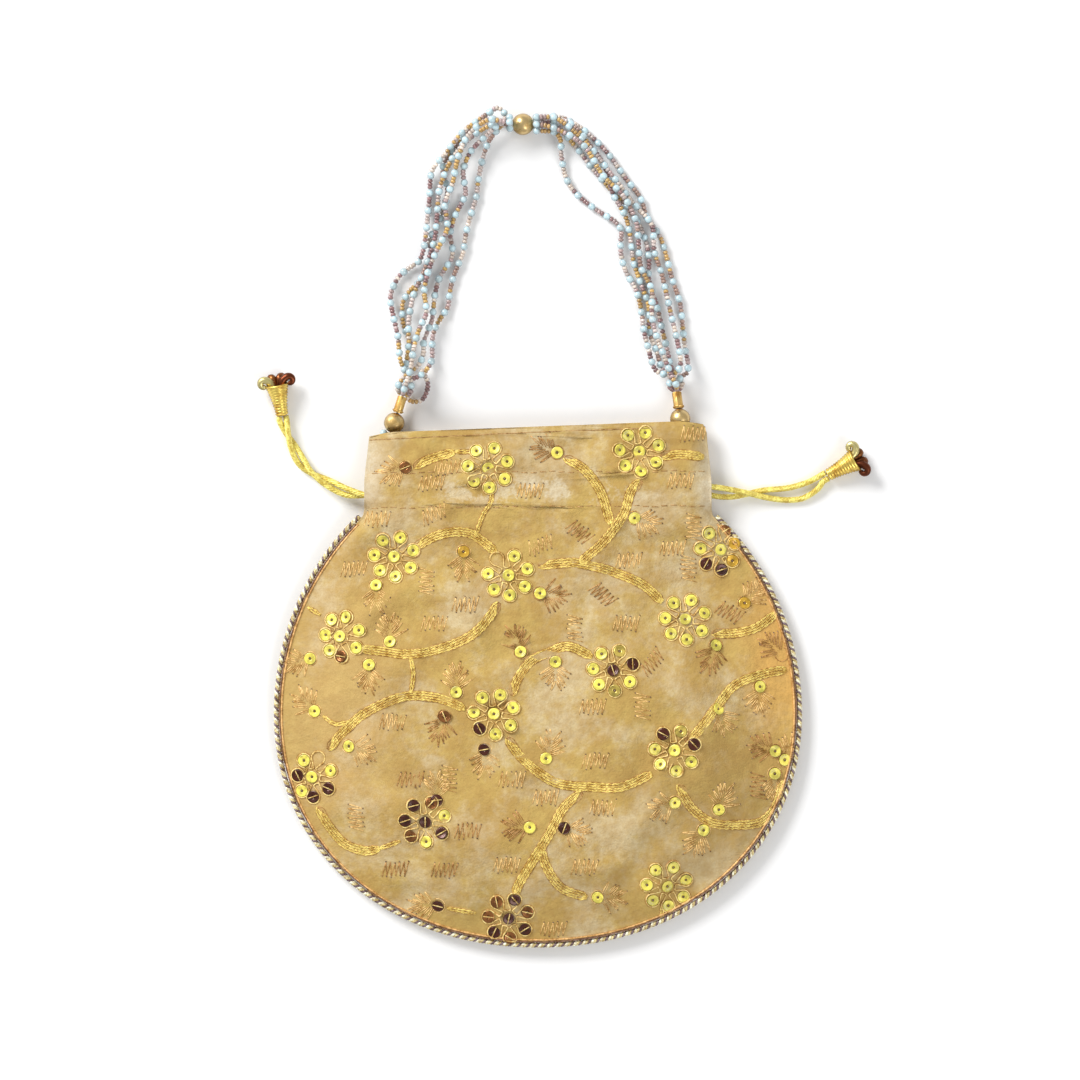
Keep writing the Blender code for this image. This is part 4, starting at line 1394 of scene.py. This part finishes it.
def bead_string(name, line, templates, rng, material, node_name, with_pearls=True):
    """One string: a pearl, then three seed beads, over and over along its line."""
    options = settings()
    long = line_length(line)
    seed_step = SEED_LONG
    pearl_long = options.pearl_radius * 2 if with_pearls else 0.0
    group_long = pearl_long + seed_step * SEEDS_BETWEEN
    groups = max(1, round(long / group_long))
    fine = respaced(line, 0.0002)
    step = long / (len(fine) - 1)
    scale = long / (groups * group_long)

    def place_at(distance):
        i = min(int(distance / step), len(fine) - 2)
        return fine[i], tangent(fine, i)

    pearls, seeds, tints = [], [], []
    along = 0.0
    hue = rng.choice(SEED_TINTS)
    for _ in range(groups):
        if with_pearls:
            place, way = place_at(along + pearl_long / 2 * scale)
            radius = options.pearl_radius * rng.uniform(0.95, 1.04)
            pearls.append(frame_at(place, way) @ Matrix.Diagonal((radius, radius, radius, 1)))
        along += pearl_long * scale
        for _ in range(SEEDS_BETWEEN):
            place, way = place_at(along + seed_step * 0.5 * scale)
            radius = options.seed_radius * rng.uniform(0.92, 1.06)
            seeds.append(frame_at(place, way, rng.uniform(0, 3))
                         @ Matrix.Diagonal((radius, radius, SEED_LONG * 0.83, 1)))
            if rng.random() < 0.45:
                hue = rng.choice(SEED_TINTS)
            light = rng.uniform(0.65, 1.1)
            tints.append(tuple(c * light for c in hue))
            along += seed_step * scale
    shades = [rng.uniform(0.92, 1.06) for _ in pearls]
    blue = [tuple(c * shade for c in PEARL_TINT) for shade in shades]
    thread = threads(name + "_thread", [respaced(line, 0.003)], 0.0005, 0)
    first = stamped(name + "_seeds", templates[1], seeds, tints)
    layer = thread.data.color_attributes.new("tint", "FLOAT_COLOR", "POINT")
    layer.data.foreach_set("color", np.tile((0.5, 0.42, 0.32, 1.0), len(thread.data.vertices)))
    pick(first)
    thread.select_set(True)
    if pearls:
        stamped(name + "_pearls", templates[0], pearls, blue).select_set(True)
    bpy.ops.object.join()
    replaced = [node_name] if node_name else []
    settle(first, name, material, "handle", "bead_string", *replaced)
    return first


def ball_piece(place, radius, axis, bore):
    tip = math.asin(bore / radius)
    profile = []
    for k in range(25):
        angle = mix(math.pi / 2 - tip, tip - math.pi / 2, k / 24)
        profile.append((radius * math.cos(angle), radius * math.sin(angle)))
    return spun(profile, 40, place, axis)


def tube_piece(place, axis):
    """A faceted gold tube with a ring at its foot."""
    deselect()
    bpy.ops.mesh.primitive_cylinder_add(vertices=8, radius=TUBE_RADIUS, depth=TUBE_LONG,
                                        location=(0, 0, TUBE_LONG / 2))
    obj = bpy.context.object
    bpy.ops.object.transform_apply(location=True, rotation=False, scale=False)
    bpy.ops.object.mode_set(mode="EDIT")
    bpy.ops.mesh.select_all(action="DESELECT")
    shape = bmesh.from_edit_mesh(obj.data)
    for face in shape.faces:
        face.select = abs(face.normal.z) > 0.9
    bmesh.update_edit_mesh(obj.data)
    bpy.ops.mesh.inset(thickness=0.0005)
    bpy.ops.mesh.extrude_region_move(TRANSFORM_OT_translate={"value": (0, 0, 0)})
    bpy.ops.mesh.select_all(action="DESELECT")
    bpy.ops.object.mode_set(mode="OBJECT")
    bevel = obj.modifiers.new("bevel", "BEVEL")
    bevel.width = 0.00018
    bevel.segments = 2
    bpy.ops.object.modifier_apply(modifier=bevel.name)
    pick(obj)
    bpy.ops.object.mode_set(mode="EDIT")
    bpy.ops.mesh.select_all(action="SELECT")
    bpy.ops.mesh.remove_doubles(threshold=1e-6)
    bpy.ops.object.mode_set(mode="OBJECT")
    obj.data.transform(frame_at(place, axis))
    ring = [(TUBE_RADIUS + 0.00035 * math.cos(a), 0.0007 + 0.00035 * math.sin(a))
            for a in [2 * math.pi * k / 8 for k in range(8)]]
    band = spun(ring[::-1], 24, place, axis)
    pick(obj)
    band.select_set(True)
    bpy.ops.object.join()
    shade(obj, 25)
    return obj


class POTLI_OT_strings(bpy.types.Operator):
    """String the beads of the handle"""
    bl_idname = "potli.strings"
    bl_label = "Beaded strings"

    def execute(self, context):
        templates = (pearl_template(), seed_template())
        material = bead_material()
        rng = random.Random(11)
        for side, routes, ball, axis in (("left", LEFT_STRINGS, LEFT_BALL, LEFT_AXIS),
                                         ("right", RIGHT_STRINGS, RIGHT_BALL, RIGHT_AXIS)):
            axis = Vector(axis).normalized()
            mouth = Vector(ball) + axis * (END_BALL_RADIUS + TUBE_LONG + 0.0030)
            way = 1 if side == "right" else -1
            ball_side = Vector(TOP_BALL) + Vector((way * (TOP_BALL_RADIUS - 0.0004), 0, 0))
            for number, line in enumerate(laid(string_plans(ball_side, routes, mouth, axis)), 1):
                tip = Vector(ball) + axis * (END_BALL_RADIUS + TUBE_LONG + 0.0010)
                tip = tip.lerp(line[-1] - axis * 0.0020, 0.45)
                line = catmull([*respaced(line, 0.0045), tip], 6)
                line = [p + Vector((0, 0, PEARL_LIFT)) for p in line]
                bead_string(f"beads_{side}_{number}", line, templates, rng, material,
                            f"strand_{side}_{number}")
        loose = catmull(in_metres(LOOSE_LOOP), 8)
        bead_string("beads_loose_loop", loose, templates, rng, material, None, False)
        return {"FINISHED"}


class POTLI_OT_gold(bpy.types.Operator):
    """Make the handle's gold balls and tubes, its end pearls and threads"""
    bl_idname = "potli.gold"
    bl_label = "Balls and tubes"

    def execute(self, context):
        gold = metal_material("antique_gold", (0.74, 0.55, 0.26), 0.35, (0.50, 0.34, 0.13))
        bright = metal_material("bright_gold", (0.90, 0.62, 0.22), 0.22, (0.62, 0.36, 0.10))
        beads = bpy.data.materials["beads"]
        sewing = thread_material("anchor_yarn", (0.42, 0.30, 0.16), 0.0)
        top = ball_piece(TOP_BALL, TOP_BALL_RADIUS, (1, 0, 0), 0.0012)
        settle(top, "ball_top", gold, "handle", "gold_metal", "top_ball")
        for side, ball, axis, pearl in (("left", LEFT_BALL, LEFT_AXIS, LEFT_PEARL),
                                        ("right", RIGHT_BALL, RIGHT_AXIS, RIGHT_PEARL)):
            axis, ball, pearl = Vector(axis).normalized(), Vector(ball), Vector(pearl)
            piece = ball_piece(ball, END_BALL_RADIUS, axis, 0.0008)
            settle(piece, f"ball_{side}", gold, "handle", "gold_metal", f"end_ball_{side}")
            foot = ball + axis * (END_BALL_RADIUS + 0.0002)
            piece = tube_piece(foot, axis)
            settle(piece, f"tube_{side}", bright, "handle", "gold_metal", f"end_tube_{side}")
            lower = ball - axis * (END_BALL_RADIUS + 0.0002)
            line = [pearl, pearl.lerp(lower, 0.6), lower, foot + axis * (TUBE_LONG + 0.003)]
            yarn = threads(f"anchor_yarn_{side}", [respaced(catmull(line, 8), 0.0006)], 0.0009, 1)
            settle(yarn, f"anchor_yarn_{side}", sewing, None, "thread",
                   f"anchor_thread_{side}")
            tuple(pearl)
            tuple(ball)
            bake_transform(yarn)
            deselect()
            bpy.ops.mesh.primitive_uv_sphere_add(segments=28, ring_count=16, radius=0.00145,
                                                 location=pearl)
            piece = bpy.context.object
            piece.data.shade_smooth()
            layer = piece.data.color_attributes.new("tint", "FLOAT_COLOR", "POINT")
            count = len(piece.data.vertices)
            layer.data.foreach_set("color", np.tile((*PEARL_TINT, 1.0), count))
            settle(piece, f"pearl_{side}", beads, "bag", "pearl", f"anchor_pearl_{side}")
        return {"FINISHED"}


# ---------------------------------------------------------------- stage


def area_light(name, place, target, size, power, colour=(1, 1, 1)):
    data = bpy.data.lights.new(name, "AREA")
    data.shape = "DISK"
    data.size = size
    data.energy = power
    data.color = colour
    lamp = bpy.data.objects.new(name, data)
    lamp.location = place
    aim = Vector(target) - Vector(place)
    lamp.rotation_euler = aim.to_track_quat("-Z", "Y").to_euler()
    bpy.context.scene.collection.objects.link(lamp)


class POTLI_OT_stage(bpy.types.Operator):
    """Set the pale floor, the soft light and the camera"""
    bl_idname = "potli.stage"
    bl_label = "Stage"

    def execute(self, context):
        scene = context.scene
        deselect()
        bpy.ops.mesh.primitive_plane_add(size=6, location=(0, 0, -0.0002))
        floor = context.object
        floor.name = "pale_floor"
        made, tree, shader, where = new_material("pale_floor", 0.9)
        shade_of = noise_of(tree, where, 3.0)
        tree.links.new(blend_of(tree, shade_of, (0.90, 0.90, 0.90), (0.93, 0.93, 0.93)),
                       shader.inputs["Base Color"])
        floor.data.materials.append(made)
        world = bpy.data.worlds.new("soft_room")
        scene.world = world
        world.use_nodes = True
        back = world.node_tree.nodes["Background"]
        back.inputs["Color"].default_value = (1, 1, 1, 1)
        back.inputs["Strength"].default_value = 0.49
        area_light("key_light", (-2.0, 2.0, 1.8), (0, -0.02, 0), 1.8, 128)
        area_light("fill_light", (1.9, -1.7, 2.4), (0, -0.02, 0), 2.4, 50)
        lens = bpy.data.cameras.new("camera")
        camera = bpy.data.objects.new("camera", lens)
        scene.collection.objects.link(camera)
        far = 2.5
        lens.sensor_width = 36
        lens.lens = 36 * far / 0.4185
        camera.location = (0.0008, -0.0050, far)
        lens.clip_end = 20
        scene.camera = camera
        scene.view_settings.view_transform = "Standard"
        return {"FINISHED"}


STEPS = (
    POTLI_OT_stage, POTLI_OT_cloth, POTLI_OT_drawcords, POTLI_OT_trim, POTLI_OT_embroidery,
    POTLI_OT_sequins, POTLI_OT_strings, POTLI_OT_gold,
)


class POTLI_PT_panel(bpy.types.Panel):
    """The bag's pieces and settings in the 3D view's sidebar"""
    bl_idname = "POTLI_PT_panel"
    bl_label = "Potli Bag"
    bl_space_type = "VIEW_3D"
    bl_region_type = "UI"
    bl_category = "Potli Bag"

    def draw(self, context):
        options = context.scene.potli_settings
        for name in options.__annotations__:
            self.layout.prop(options, name)
        for step in STEPS:
            self.layout.operator(step.bl_idname, text=step.bl_label)


CLASSES = (PotliSettings, *STEPS, POTLI_PT_panel)


def register():
    for each in CLASSES:
        bpy.utils.register_class(each)
    bpy.types.Scene.potli_settings = bpy.props.PointerProperty(type=PotliSettings)


def unregister():
    del bpy.types.Scene.potli_settings
    for each in reversed(CLASSES):
        bpy.utils.unregister_class(each)


def main():
    register()
    bpy.ops.potli.stage()
    bpy.ops.potli.cloth()
    bpy.ops.potli.drawcords()
    bpy.ops.potli.trim()
    bpy.ops.potli.embroidery()
    bpy.ops.potli.sequins()
    bpy.ops.potli.strings()
    bpy.ops.potli.gold()


if __name__ == "__main__":
    main()
